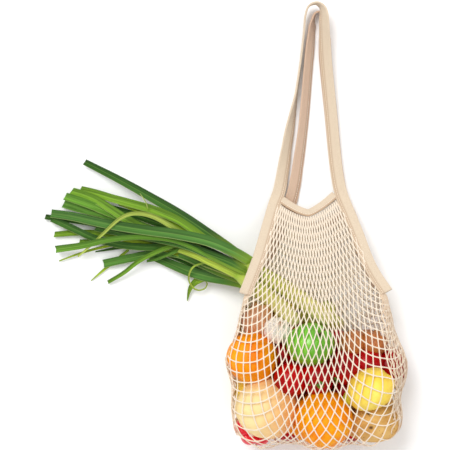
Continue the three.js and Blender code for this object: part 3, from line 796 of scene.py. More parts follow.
# %% [markdown]
# ## Fruit and vegetables
#
# A fruit is an ellipsoid with a few things done to it: a hollow where its stem sits, a waist near
# its ends, lobes round it, and soft lumps. All of these are one formula, the share of the
# ellipsoid's radius in each direction. Its colours and pores come from its material.

# %% Shape of a fruit
def pits_at(way, dents, spread):
    """How deep in a pit each direction is: the sum of exp(-|way - to|^2 / spread)."""
    depth = np.zeros(way.shape[:-1])
    for to in dents:
        depth = depth + np.exp(-((way - unit(np.array(to, float))) ** 2).sum(-1) / spread)
    return depth


def share_of_radius(way, t, around, rings=(), lobes=(0, 0), lumps=0.0, dents=(), dent=0.0):
    """1 + sum of a exp(-((t - at) / width)^2) for each ring, + lobes, + lumps, - dents.

    Lobes are depth sin(t) cos(count around). Lumps are three slow waves over the surface.
    """
    share = np.ones(np.broadcast(t, around).shape)
    for amount, at, width in rings:
        share = share + amount * np.exp(-(((t - at) / width) ** 2))
    share = share + lobes[1] * np.sin(t) * np.cos(lobes[0] * around)
    for turn in (0.3, 2.1, 4.4):
        wave = way @ np.array([np.cos(turn), np.sin(turn), 0.6 * np.cos(3 * turn)])
        share = share + lumps * np.sin(4.2 * wave + 3 * turn)
    return share - dent * pits_at(way, dents, 0.02)


def turn_level(p, degrees):
    """Turns points about the upright: (x cos - y sin, x sin + y cos, z)."""
    c, s = np.cos(np.radians(degrees)), np.sin(np.radians(degrees))
    return np.stack([p[..., 0] * c - p[..., 1] * s, p[..., 0] * s + p[..., 1] * c, p[..., 2]], -1)


FRUIT_GRID, DEEP_GRID = (56, 84), (36, 48)  # rings, and points on each


def fruit_skin(body, stem, form, grid=FRUIT_GRID):
    """Rings from the stem to the other end: middle + halves * way * share of the radius.

    way = cos t stem + sin t (cos a side + sin a other). The mark `grain` is (cos a, sin a, t / pi),
    for streaks that run from end to end.
    """
    x, y, z, a, b, c, turn = body
    rows, spokes = grid
    stem = unit(np.array(stem, float))
    side = unit(np.cross(stem, (0.31, 0.52, 0.8)))
    other = np.cross(side, stem)
    t = np.linspace(0.012, PI - 0.012, rows)[:, None]
    around = (2 * PI * np.arange(spokes) / spokes)[None, :]
    t3, a3 = t[..., None], around[..., None]
    way = np.cos(t3) * stem + np.sin(t3) * (np.cos(a3) * side + np.sin(a3) * other)
    share = share_of_radius(way, t, around, **form)
    rings = turn_level(way * share[..., None] * (a, b, c), turn) + (x, y, z)
    grain = np.stack(np.broadcast_arrays(np.cos(around), np.sin(around), t / PI), -1)
    pits = pits_at(way, form.get("dents", ()), 0.012)
    return skin(rings * MM, v=np.linspace(0, 1, rows), grain=grain, pit=pits)


print("a fruit has", FRUIT_GRID[0] * FRUIT_GRID[1], "points")

# %% Where each piece lies, and its form
# a few pieces lie a little off the place that gave the net its form
SETTLED = {
    "melon": (63, -275.5, 76, 47, 46.5, 46, 0),
    "lemon": (215, -246.5, 110, 41, 31, 30, 24),
    "garlic": (78, -158, 95, 20, 20, 17, 0),
    "radish_a": (28, -304, 64, 13.5, 13.5, 14, 0),
    "radish_b": (37, -319.5, 56, 13.5, 12.5, 14, 0),
    "radish_c": (54, -321, 50, 13, 12, 13, 0),
    "tomato_d": (213, -209, 84, 26, 25, 26, 0),
    "onion_b": (222, -177, 85, 21, 21, 20, 0),
}
CROP = CONTENTS | {"low_lemon": ("lemon", (0.6, -0.8, 0), (40, -247, 44, 27, 24, 30, 20))}
LYING = {}
for key, (_, _, body) in CROP.items():
    x, y, z, a, b, c, turn = SETTLED.get(key, body)
    LYING[key] = (x, y, max(z, c + 2), a, b, c, turn)  # never lower than a cord's thickness
EYES = [
    (-0.134, -0.2, 0.97), (0.05, 0.85, 0.5), (-0.13, 0.5, 0.85),
    (0.8, 0.1, 0.6), (0.3, -0.8, -0.3), (-0.7, -0.3, -0.5),
]
FORMS = {
    "orange": dict(rings=[(-0.05, 0, 0.16), (-0.02, PI, 0.1)], lumps=0.005),
    "melon": dict(rings=[(-0.04, 0, 0.2)], lobes=(10, 0.008), lumps=0.008),
    "potato": dict(lumps=0.022, dents=EYES, dent=0.06),
    "lemon": dict(rings=[(-0.1, 0.5, 0.25), (-0.08, PI - 0.5, 0.25)], lumps=0.012),
    "apple": dict(rings=[(-0.3, 0, 0.34), (-0.12, PI, 0.3)], lobes=(5, 0.012)),
    "tomato": dict(rings=[(-0.14, 0, 0.28)], lobes=(5, 0.012)),
    "onion": dict(rings=[(-0.24, 0.5, 0.3), (-0.05, PI, 0.2)], lobes=(7, 0.008)),
    "garlic": dict(rings=[(-0.32, 0.55, 0.36)], lobes=(9, 0.06)),
    "radish": dict(rings=[(-0.3, PI - 0.5, 0.3), (-0.08, 0, 0.3)]),
    "pear": dict(rings=[(-0.34, 0.75, 0.5)], lumps=0.012),
}
FORMS["red_apple"] = FORMS["apple"]
DEEP_CROP = [  # tomatoes deep in the heap, behind the gaps between the others
    (96, -252, 62, 26, 26, 26, 0), (182, -250, 66, 26, 26, 26, 0),
    (84, -196, 62, 25, 25, 25, 0), (166, -182, 66, 25, 24, 24, 0),
    (140, -236, 56, 30, 30, 26, 0), (100, -166, 66, 22, 22, 22, 0),
    (97, -312.5, 46, 27, 13.5, 22, 0), (190, -313, 46, 19, 14, 20, 0),
]
print(len(CROP) + len(DEEP_CROP), "fruits and vegetables")

# %% [markdown]
# ## Peel
#
# The colours are read from the photo, a light and a dark one for each kind. Citrus peel has
# pores, which are cells of a Voronoi pattern pressed in. Onion skin and leek have fine streaks from
# end to end, so their noise is stretched along the fruit's own grain.

# %% Patterns of peel
def cells(mat, scale, soft=None):
    """The distance to the middle of the nearest cell, with `scale` cells to a metre."""
    inputs = {"Vector": add(mat, "TexCoord").outputs["Object"], "Scale": scale}
    if soft is None:
        return add(mat, "TexVoronoi", inputs).outputs["Distance"]
    inputs["Smoothness"] = soft
    return add(mat, "TexVoronoi", inputs, feature="SMOOTH_F1").outputs["Distance"]


def streaks(mat, scale, detail, stretch, roughness=0.5):
    """Noise drawn out along the fruit's own grain."""
    grain = add(mat, "Mapping", {"Vector": mark(mat, "grain", "Vector"), "Scale": stretch}).outputs[0]
    return noise(mat, scale, detail, grain, roughness)


def along_grain(mat):
    """From 0 at the stem to 1 at the other end."""
    return parts_of(mat, mark(mat, "grain", "Vector"))[2]


print("patterns: pores and dots, streaks, and the way from end to end")

# %% Citrus and melon
def citrus(name, dark, light, end_colour, end_from, end_to, scale, depth):
    """Pressed-in pores, and a greener end round the stem."""
    mat = finish_of(name, 0.45, Specular_IOR_Level=0.2)
    colour = ramp(mat, noise(mat, 28), (0.32, dark), (0.68, light))
    colour = cover(mat, colour, end_colour, along_grain(mat), (end_from, 1), (end_to, 0))
    return wire(mat, colour, cells(mat, scale, soft=0.4), depth)


def orange_finish(name, dark, light):
    """Orange peel, with only a spot of green at the stem."""
    return citrus(name, dark, light, paint(92, 96, 40), 0.0, 0.045, 620.0, 0.5 * MM)


def melon_finish():
    """Pale, and riper orange towards one side, by the place across the bag."""
    mat = finish_of("melon_rind", 0.5, Coat_Weight=0.08)
    place_x = parts_of(mat, add(mat, "TexCoord").outputs["Object"])[0]
    ripe = add(mat, "MapRange", {"Value": place_x, "From Min": 35 * MM, "From Max": 104 * MM}).outputs[0]
    ripe = maths(mat, "MULTIPLY_ADD", noise(mat, 45, 4), 0.5, maths(mat, "SUBTRACT", ripe, 0.25))
    tints = paint(246, 222, 160), paint(246, 204, 140), paint(248, 184, 104)
    colour = ramp(mat, ripe, *zip((0.0, 0.5, 1.0), tints))
    return wire(mat, colour, noise(mat, 260), 0.5 * MM)


LEMON_TINTS = paint(244, 206, 66), paint(254, 234, 112), paint(170, 205, 40)
lemon_peel = citrus("lemon_peel", *LEMON_TINTS, 0.02, 0.26, 520.0, 0.55 * MM)
print("citrus and melon ready")

# %% Potato, apples and pears
def potato_finish():
    """Earthy skin with small freckles, and dark in its eyes."""
    mat = finish_of("potato_skin", 0.75)
    colour = ramp(mat, noise(mat, 38, 5), (0.3, paint(196, 142, 66)), (0.7, paint(236, 194, 116)))
    colour = cover(mat, colour, paint(132, 84, 34), cells(mat, 170.0), (0.06, 1), (0.2, 0))
    colour = cover(mat, colour, paint(84, 44, 16), mark(mat, "pit"), (0.35, 0), (0.9, 1))
    return wire(mat, colour, noise(mat, 420, 4), 0.5 * MM)


def apple_finish(name, dark, light, blush=None):
    """Smooth skin with pale dots, a dark hollow at the stem, and streaks of blush if it has any."""
    mat = finish_of(name, 0.28, Coat_Weight=0.3, Coat_Roughness=0.15)
    colour = ramp(mat, noise(mat, 22), (0.3, dark), (0.7, light))
    if blush:
        colour = cover(mat, colour, blush, streaks(mat, 6, 5, (2.2, 2.2, 0.5)), (0.4, 0), (0.6, 1))
    colour = cover(mat, colour, paint(200, 226, 140), cells(mat, 210.0), (0.07, 0.8), (0.14, 0))
    colour = cover(mat, colour, paint(58, 74, 22), along_grain(mat), (0.0, 1), (0.1, 0))
    return wire(mat, colour, noise(mat, 300, 2), 0.12 * MM)


print("potato, apple and pear ready")

# %% Onions and radishes
def onion_finish(name, dark, light, light_from=0.62):
    """Papery skin, striped from end to end, and browner at the neck."""
    mat = finish_of(name, 0.4, Coat_Weight=0.2, Coat_Roughness=0.3)
    streak = streaks(mat, 5, 6, (3.2, 3.2, 0.4), 0.7)
    colour = ramp(mat, streak, (0.3, dark), (light_from, light))
    colour = cover(mat, colour, paint(176, 120, 66), along_grain(mat), (0.0, 1), (0.16, 0))
    return wire(mat, colour, streak, 0.6 * MM)


def radish_finish():
    """Shiny and red, and white at the root's end."""
    mat = finish_of("radish_skin", 0.22, Coat_Weight=0.4, Coat_Roughness=0.1)
    end = maths(mat, "MULTIPLY_ADD", noise(mat, 120), 0.1, along_grain(mat))
    tints = paint(210, 10, 30), paint(226, 14, 44), paint(250, 226, 224)
    colour = ramp(mat, end, *zip((0.0, 0.86, 0.97), tints))
    return wire(mat, colour, noise(mat, 120, 2), 0.2 * MM)


print("onion, garlic and radish ready")

# %% Peel of each kind
TOMATO_TINTS = paint(126, 0, 6), paint(200, 4, 8)
tomato_skin = mottled(
    "tomato_skin", 0.25, *TOMATO_TINTS, (30, 2), (90, 2), 0.15 * MM, Specular_IOR_Level=0.2
)
PEEL = {
    "orange": orange_finish("orange_peel", paint(246, 138, 0), paint(255, 178, 0)),
    "orange_left": orange_finish("deep_orange_peel", paint(242, 126, 0), paint(254, 168, 0)),
    "melon": melon_finish(),
    "potato": potato_finish(),
    "lemon": lemon_peel,
    "apple": apple_finish("green_apple_skin", paint(84, 166, 24), paint(132, 206, 52)),
    "red_apple": apple_finish("red_apple_skin", paint(196, 176, 60), paint(222, 196, 84), paint(176, 30, 26)),
    "tomato": tomato_skin,
    "onion": onion_finish("onion_skin", paint(140, 66, 26), paint(214, 132, 60)),
    "onion_left": onion_finish("pale_onion_skin", paint(150, 80, 42), paint(230, 172, 124)),
    "garlic": onion_finish("garlic_skin", paint(112, 90, 80), paint(250, 245, 238), 0.45),
    "radish": radish_finish(),
    "pear": apple_finish("pear_skin", paint(168, 178, 62), paint(206, 204, 96)),
}
print(len(PEEL), "kinds of peel")

# %% Make the fruit and vegetables
for key, (kind, stem, _) in CROP.items():
    made = join(key, [fruit_skin(LYING[key], stem, FORMS[kind])])
    place(made, PEEL.get(key) or PEEL[kind], "net_bag")
deep = [fruit_skin(body, (0.2, 0.4, -0.9), FORMS["tomato"], DEEP_GRID) for body in DEEP_CROP]
place(join("deep_tomatoes", deep), PEEL["tomato"], "net_bag")
print("fruit made")

# %% [markdown]
# ## Stems and green stars
#
# A tomato carries a star of five pointed leaves round a short stem, and an apple has a stem in its
# hollow. The star's leaves are thin closed strips that start at the stem and droop over the fruit.

# %% Stems, and stars of small leaves
def stem_place(key, depth=0.0):
    """Where a fruit's stem leaves it, which way, and how big the fruit is there, in millimetres."""
    kind, stem, _ = CROP[key]
    x, y, z, a, b, c, turn = LYING[key]
    stem = unit(np.array(stem, float))
    share = share_of_radius(stem, np.zeros(1), np.zeros(1), **FORMS[kind])[0]
    at = turn_level(stem * share * (a, b, c), turn) + (x, y, z)
    return at - depth * turn_level(stem, turn), turn_level(stem, turn), min(a, b, c)


def round_stem(at, way, length, radius, lean=(0, 0, 0)):
    """A tube from `at`: at + way length t + lean t^2, half as thick again at both ends."""
    t = np.linspace(0, 1, 9)[:, None]
    path = at + way * length * t + np.array(lean) * t**2
    flare = radius * (1 + 0.5 * (2 * t - 1) ** 4)
    beside = unit(np.cross(way, (0.3, 0.2, 0.9))) + 0 * path
    return skin(tube(path * MM, beside, flare[:, 0] * MM, 10))


def strip(path, up, halves, thick, across_points=9, keel=0.0):
    """A closed leaf: rings of its upper side, then its lower, over a path with half widths.

    At the share q of the half width the middle is lifted by keel |q|, and the leaf is
    thick (1 - 0.6 q^2) thick.
    """
    ahead = unit(np.gradient(path, axis=0))
    across = unit(np.cross(up, ahead))
    up = np.cross(ahead, across)
    q = np.linspace(1, -1, across_points)
    both = np.concatenate([q, q[::-1]])
    face = np.concatenate([np.ones(across_points), -np.ones(across_points)])
    halves, keel = np.reshape(halves, (-1, 1)), np.reshape(keel, (-1, 1))
    out = halves * both
    lift = keel * halves * 2 * (np.sqrt(both**2 + 0.02) - 0.14) + face * thick / 2 * (1 - 0.6 * both**2)
    return path[:, None] + out[..., None] * across[:, None] + lift[..., None] * up[:, None]


def star(key, leaves, length, width):
    """Pointed leaves round a stem: each runs out along the fruit, then lifts at its tip."""
    at, way, big = stem_place(key)
    side = unit(np.cross(way, (0.2, 0.9, 0.3)))
    other = np.cross(way, side)
    parts = []
    for i in range(leaves):
        turn = 2 * PI * (i + 0.3 * rng.random()) / leaves
        out = np.cos(turn) * side + np.sin(turn) * other
        t = np.linspace(0, 1, 12)[:, None]
        reach = length * (0.85 + 0.3 * rng.random()) * t
        drop = reach**2 / (2.4 * big) - 2.6 * t**3 * rng.random()
        path = at + out * reach + way * (1.2 + 1.4 * np.exp(-t * 6) - drop)
        half = width / 2 * (1 - t**2) + 0.25
        parts.append(skin(strip(path * MM, way + 0 * path, half * MM, 0.7 * MM, 5, 0.1)))
    return parts


print("the apple's stem leaves it at", stem_place("apple")[0].round(), "mm")

# %% Make the stars, stems, buttons and roots
green = mottled(
    "star_green", 0.5, paint(54, 104, 22), paint(122, 170, 50), (160, 3), (500,), 0.3 * MM
)
woody = mottled("stem_brown", 0.7, paint(70, 50, 22), paint(122, 94, 48), (300, 4), (700,), 0.3 * MM)
pale_root = mottled(
    "pale_root", 0.6, paint(214, 170, 160), paint(244, 222, 212), (200, 3), (500,), 0.2 * MM
)
stars = []
for key, length in zip("bcade", (17, 15, 15, 15, 16)):
    key = "tomato_" + key
    stars += star(key, 5, length, 4.4)
    at, way, _ = stem_place(key)
    stars.append(round_stem(at, way, 7, 1.5, (1, -1.5, 0)))
place(join("tomato_stars", stars), green, "net_bag")
stalks = []
for key, length in (("apple", 15), ("back_apple", 12), ("back_pear", 16), ("low_pear", 12)):
    at, way, _ = stem_place(key, 1.5)
    stalks.append(round_stem(at, way, length, 1.1, (2, 1, 1)))
place(join("fruit_stems", stalks), woody, "net_bag")
buttons = []
for key in ("orange_left", "orange_middle", "back_orange"):
    at, way, _ = stem_place(key, 1.0)
    buttons.append(round_stem(at, way, 1.8, 2.4))
place(join("green_buttons", buttons), green, "net_bag")
roots = []
for key in ("radish_a", "radish_b", "radish_c"):
    x, y, z, a, b, c, turn = LYING[key]
    way = -unit(np.array(CROP[key][1], float))
    at = np.array([x, y, z]) + way * min(a, b, c) * 0.93
    t = np.linspace(0, 1, 14)[:, None]
    path = at + way * 14 * t + np.array([2, 1, -2]) * np.sin(3 * t)
    thin = 1.5 * (1 - t[:, 0]) ** 1.5 + 0.15
    roots.append(skin(tube(path * MM, np.array([0.1, 0.2, 1.0]) + 0 * path, thin * MM, 8)))
place(join("thin_roots", roots), pale_root, "net_bag")
print("stems, stars and roots made")

# %% [markdown]
# ## Handle bands
#
# The handles are flat woven bands. A band is a cross-section carried along a path, with a roll for
# each point: it lies flat at its feet, and stands on edge where the bag hangs from it. Where it is
# sewn to the front panel it takes the panel's slope. A groove runs beside the inner edge, where a
# line of stitches holds the folded hem of the net.

# %% Places along the bands
# each is x, y and z in millimetres, the roll in degrees, and 1 where the band is sewn to the panel
BAND_WIDTH, BAND_THICK = 19.5, 3.0
CLEAR = 0.7  # room for the stitches under a band that lies flat


def on_panel(x, y, lift=0.0):
    """A place where the band is sewn to the front panel, and lies just under its plane."""
    return (x, y, panel_plane(x * MM, y * MM) / MM - BAND_THICK / 2 + lift, 0, 1)


def lying(x, y, roll=0.0, lift=0.0):
    """A place on the floor: the middle is half the band's height there over it."""
    turn = np.radians(roll)
    half = BAND_WIDTH / 2 * np.sin(turn) + BAND_THICK / 2 * np.cos(turn)
    return (x, y, half + CLEAR + lift, roll, 0)


FRONT_HANDLE = [
    on_panel(30, -104.5, 3), on_panel(41, -77, 1.5), on_panel(52, -47), on_panel(67, 4),
    on_panel(75, 30, -1), lying(82, 50, 10, 7), lying(88, 82, 22, 1.8), lying(95, 126, 42, 1),
    lying(109, 206, 84, 0.4), lying(116, 260, 90, 2), lying(119.5, 292, 90, 5),
    lying(121.5, 315, 90, 9), lying(126, 328, 90, 12), lying(134, 332.5, 86, 14),
    lying(143, 330, 74, 17), lying(148.5, 320, 54, 21.5), lying(149.5, 303, 40, 21.5),
    lying(151.5, 262, 28, 12), lying(160, 170, 20, 4), lying(168.5, 82, 18, 4),
    lying(175, 48, 8, 8), on_panel(187, 16), on_panel(198, -12), on_panel(215, -57),
    on_panel(226, -78, 1.5), on_panel(242, -102, 4),
]
BACK_HANDLE = [
    lying(36, -96), lying(60, -54), lying(82, -8, 0, 0.3), lying(98, 30, 2, 0.6),
    lying(105, 56, 24, 1), lying(110.5, 90, 34, 0.4), lying(118.5, 150, 44, 0.4),
    lying(127.5, 255, 48, 0.4), lying(131.5, 296, 60, 0.4), lying(133.5, 311, 80, 0.4),
    lying(138, 320, 90, 0.4), lying(145, 320, 90, 0.4), lying(149.5, 312, 88, 0.4),
    lying(150.5, 296, 66, 1.2), lying(151, 276, 20, 2), lying(152, 250, 0, 1.4),
    lying(160, 170, 0, 0.4), lying(169, 82), lying(176, 46), lying(192, 6),
    lying(210, -46), lying(232, -92),
]
print("places:", len(FRONT_HANDLE), "along the front band,", len(BACK_HANDLE), "along the back one")

# %% Path, roll and cross-section of a band
def sides_of(path, roll):
    """Across and up of a band: across is level at a roll of 0, and turns about the path."""
    ahead = unit(np.gradient(path, axis=0))
    level = unit(np.cross((0, 0, 1), ahead))
    upright = np.cross(ahead, level)
    c, s = np.cos(roll)[:, None], np.sin(roll)[:, None]
    across = level * c + upright * s
    return across, np.cross(ahead, across), level, upright


def band_frame(points, steps):
    """Middle line, across and up of a band, at `steps` places from each point to the next."""
    points = np.array(points, float)
    path = curve_through(points[:, :3], steps)
    at = np.arange(len(path)) / steps
    low = np.minimum(at.astype(int), len(points) - 2)
    ease = (at - low) ** 2 * (3 - 2 * (at - low))
    free = np.radians(lerp(points[low, 3], points[low + 1, 3], ease))
    sewn = lerp(points[low, 4], points[low + 1, 4], ease)
    x, y, reach = path[:, 0] * MM, path[:, 1] * MM, 2 * MM
    slope_x = (panel_plane(x + reach, y) - panel_plane(x - reach, y)) / (2 * reach)
    slope_y = (panel_plane(x, y + reach) - panel_plane(x, y - reach)) / (2 * reach)
    normal = unit(np.stack([-slope_x, -slope_y, np.ones_like(x)], -1))
    _, _, level, upright = sides_of(path, 0 * at)
    panel_roll = np.arctan2(-(level * normal).sum(-1), (upright * normal).sum(-1))
    across, up, _, _ = sides_of(path, lerp(free, panel_roll, sewn))
    return path, across, up


def band_skin(path, across, up, width, thick, seam):
    """Rings of a band: half height (thick / 2) sqrt(1 - k^2), with k > 0 only near the edges.

    The seam at `seam` from the middle presses a groove in both faces. The map is the place
    across, and the length along, both in metres.
    """
    a = width / 2 * np.sin(np.linspace(PI / 2, -PI / 2, 45))
    near_edge = np.clip((np.abs(a) - (width / 2 - 1.3)) / 1.3, 0, 1)
    high = thick / 2 * np.sqrt(np.maximum(1 - near_edge**2, 0))
    high = high - 0.4 * np.exp(-(((a - seam) / 0.6) ** 2))
    round_a = np.concatenate([a, a[-2:0:-1]])
    round_b = np.concatenate([high, -high[-2:0:-1]])
    rings = path[:, None] + round_a[:, None] * across[:, None] + round_b[:, None] * up[:, None]
    return skin(rings * MM, u=np.append(round_a, round_a[0]) * MM, v=travelled(path) * MM)


def stitches(path, across, up, seam, height, pitch=3.4, length=2.5, radius=0.42):
    """A line of stitches on both faces: short threads that dip into the cloth at each end."""
    travel = travelled(path)
    bow = height + 0.3 * np.sin(np.linspace(0, PI, 5))[:, None] - 0.25
    made = []
    for face in (1, -1):
        for start in np.arange(1.5, travel[-1] - length - 1, pitch):
            s = np.linspace(start, start + length, 5)
            middle, side, lift = (
                np.stack([np.interp(s, travel, values[:, i]) for i in range(3)], -1)
                for values in (path, across, up * face)
            )
            line = (middle + side * seam + lift * bow) * MM
            made.append(skin(tube(line, lift, np.full(5, radius * MM), 6)))
    return made


BAND_SEAM = -(BAND_WIDTH / 2 - 4.3)  # the place of the seam across the band
front_frame = band_frame(FRONT_HANDLE, 18)
back_frame = band_frame(BACK_HANDLE, 18)
print("bands:", len(front_frame[0]), "and", len(back_frame[0]), "rings")

# %% Woven cotton, and the thread
WEAVE_PITCH = 1.1 * MM


def cloth_finish(name, light, dark, inside):
    """A plain weave: warp and weft go over and under each other, as 0.5 + 0.5 sin across sin along.

    The cloth is painted darker in the groove of its seam, in the colour `inside`: painted shade.
    """
    mat = finish_of(name, 0.9, Sheen_Weight=0.2)
    uv = surface_map(mat)
    turns = [maths(mat, "MULTIPLY", way, 2 * PI / WEAVE_PITCH) for way in (uv[0], uv[1])]
    across, along = (maths(mat, "SINE", turn) for turn in turns)
    weave = maths(mat, "MULTIPLY_ADD", maths(mat, "MULTIPLY", across, along), 0.5, 0.5)
    shade = maths(mat, "MULTIPLY_ADD", noise(mat, 700, 5), 0.6, maths(mat, "MULTIPLY", weave, 0.4))
    colour = ramp(mat, shade, (0.2, dark), (0.6, light))
    # painted shade in the groove of the seam
    groove = maths(mat, "ABSOLUTE", maths(mat, "SUBTRACT", uv[0], (BAND_SEAM - 0.2) * MM))
    colour = cover(mat, colour, inside, groove, (0.7 * MM, 1), (1.8 * MM, 0))
    return wire(mat, colour, weave, 0.25 * MM)


def sew(name, line, cloth, width, thick, seam):
    """Makes a band and the stitches of its seam, and puts them on the bag."""
    place(join(name + "_band", [band_skin(*line, width, thick, seam)]), cloth, name)
    threads = stitches(*line, seam, thick / 2 - 0.35)
    place(join(name + "_stitches", threads), thread, name)


front_cloth = cloth_finish("cotton_band", paint(226, 208, 184), paint(204, 182, 154), paint(190, 160, 130))
# the back band and hem are the same cotton as the front, painted darker: painted shade
back_cloth = cloth_finish("shaded_band", paint(218, 189, 164), paint(193, 158, 134), paint(162, 126, 102))
thread = mottled("thread", 0.7, paint(240, 226, 202), paint(252, 244, 228), (900, 2), (1500,), 0.1 * MM)
sew("front_handle", front_frame, front_cloth, BAND_WIDTH, BAND_THICK, BAND_SEAM)
sew("back_handle", back_frame, back_cloth, BAND_WIDTH, BAND_THICK, BAND_SEAM)
print("bands made")

# %% [markdown]
# ## Hems
#
# A hem is a shorter, narrower band that joins the two sides of a handle and holds the top edge of
# the net. It sags between them to a soft crease, and goes in under the handle at each end.

# %% Hems of the front and of the back
def hem_frame(left, right, sag, point_at, steps=96):
    """A line from left to right that sags by `sag` (1 - |2a - 1|^1.4)."""
    a = np.linspace(0.02, 0.98, steps + 1)
    x = lerp(left[0], right[0], a)
    y = lerp(left[1], right[1], a) - sag * (1 - np.abs(2 * a - 1) ** 1.4)
    path = np.array([point_at(*spot)[:3] for spot in zip(x, y)])
    normal = unit(np.array([0, PANEL_SLOPE, 1.0])) if point_at is on_panel else np.array([0, 0, 1.0])
    ahead = unit(np.gradient(path, axis=0))
    across = unit(np.cross(normal, ahead))
    return path, across, np.cross(ahead, across)


HEM_WIDTH, HEM_THICK = 12.5, 2.7
HEM_SEAM = -(HEM_WIDTH / 2 - 3.2)
front_line = hem_frame((84, 38), (168, 46), 25, on_panel)
back_line = hem_frame((94, 18), (186, 22), 23, lying)
sew("front_hem", front_line, front_cloth, HEM_WIDTH, HEM_THICK, HEM_SEAM)
sew("back_hem", back_line, back_cloth, HEM_WIDTH, HEM_THICK, HEM_SEAM)
print(f"hems made: {travelled(front_line[0])[-1]:.0f} and {travelled(back_line[0])[-1]:.0f} mm long")

# %% [markdown]
# ## Leeks
#
# A leek is a round stalk that opens into long leaves, each folded like a keel along its midrib. The
# leaves turn from pale yellow-green at the stalk to a deep, dusty green at the tips, and thin
# parallel veins run all the way. Their ends are cut off slantwise.

# %% Stalks and leaves of the leeks
# each leek is its stalk's middle line, and then its leaves: widths at base, middle and tip, fold,
# tone (the leaf's green, and painted shade: the low leaves get the darkest), cut of the tip (see
# `leaf_skin`), and the points x, y, z of its midrib, in millimetres
LEAF_THICK, STALK_RADIUS = 1.44, 12
LEEKS = {}
LEEKS["leek_a"] = [
    [(158, -146, 94), (130, -124, 89), (94, -98, 74), (57, -77, 63), (34, -62, 56), (18, -52, 52)],
    ((14, 15, 9.5), 0.22, 0.1, (0.15, 0), [
        (44, -64, 56), (-3, -29, 54), (-36, -6, 47), (-70, 16, 39), (-112, 40, 29), (-162, 68, 18),
        (-212, 94, 9)]),
    ((10, 13, 12), 0.14, 0.66, (0.3, 0), [
        (22, -51, 57), (-27, -24, 51), (-48, -9, 47), (-70, 6, 43), (-90, 15, 39), (-112, 23, 34),
        (-142, 31, 27), (-172, 39, 20), (-195, 46, 14), (-219, 52, 10)]),
    ((7, 8, 4), 0.2, 0.8, (0.3, 0), [
        (0, -40, 46), (-45, -20, 41), (-63, -10, 38), (-86, 4, 33), (-110, 14, 28), (-135, 21, 23),
        (-160, 30, 17)]),
    ((10, 13, 11.5), 0.16, 0.62, (0.4, 0), [
        (-38, -38, 49), (-90, -16, 42), (-128, -4, 36), (-152, 9, 31), (-172, 22, 25), (-192, 35, 19),
        (-212, 44, 14), (-232, 50, 11)]),
    ((10, 13, 12), 0.14, 0.5, (0.2, 0.1), [
        (-68, -24, 41), (-112, -8, 34), (-150, 8, 28), (-177, 18, 23), (-212, 32, 17), (-241, 42, 12)]),
    ((12, 14, 13), 0.13, 0.38, (0.2, 0), [
        (-52, -33, 38), (-112, -12, 29), (-150, 3, 23), (-180, 14, 18), (-212, 22, 13), (-244, 31, 9)]),
    ((13, 15, 12), 0.15, 0, (0.5, 0), [
        (36, -70, 50), (-30, -46, 30), (-88, -22, 18), (-150, 0, 11), (-210, 12, 7)]),
    ((10, 13, 6), 0.1, 0, (0.3, 0), [
        (38, -69, 44), (0, -52, 46), (-30, -39, 44), (-60, -28, 40), (-90, -21, 36)]),
    ((9, 12, 8), 0.1, 0.02, (0.3, 0), [
        (-45, -24, 37), (-90, -3, 31), (-120, 8, 27), (-150, 18, 21), (-182, 28, 15)]),
    ((2, 1.8, 0.8), 0.1, 1, (0, 0), [
        (-116, 22, 39), (-118, 30, 40), (-123, 39, 38), (-128, 46, 34)]),
]
LEEKS["leek_b"] = [
    [(108, -150, 80), (81, -122, 80), (50, -98, 74), (28, -84, 66), (12, -76, 60)],
    ((15, 16, 12.5), 0.1, 0.24, (0.1, 0.1), [
        (46, -62, 58), (32, -52, 66), (8, -39, 70), (-24, -26, 69), (-70, -16, 63), (-128, -8, 50),
        (-177, 0, 38), (-232, 12, 25), (-262, 16, 16)]),
    ((13, 13, 9), 0.12, 0.16, (0.4, 0), [
        (39, -74, 60), (22, -66, 64), (8, -58, 64), (-24, -46, 60), (-60, -32, 52), (-105, -22, 42),
        (-150, -15, 31), (-195, -6, 21)]),
    ((3.5, 6, 11), 0.16, 0.52, (0, 0.4), [
        (32, -76, 70), (4, -63, 68), (-24, -49, 64), (-42, -39, 60), (-60, -31, 58), (-81, -24, 57),
        (-120, -20, 50), (-172, -23, 38), (-214, -32, 26), (-254, -38, 13)]),
    ((10, 11, 5.5), 0.14, 0.95, (0.2, 0), [
        (33, -85, 66), (4, -70, 64), (-24, -57, 60), (-47, -47, 54), (-70, -40, 46)]),
    ((9, 7, 2.5), 0.2, 0.97, (0.1, 0), [
        (-38, -26, 50), (-70, -10, 54), (-86, 0, 56), (-105, 10, 56), (-123, 15, 54), (-141, 15, 52),
        (-158, 8, 48), (-183, -14, 38), (-202, -32, 28), (-222, -49, 17)]),
]
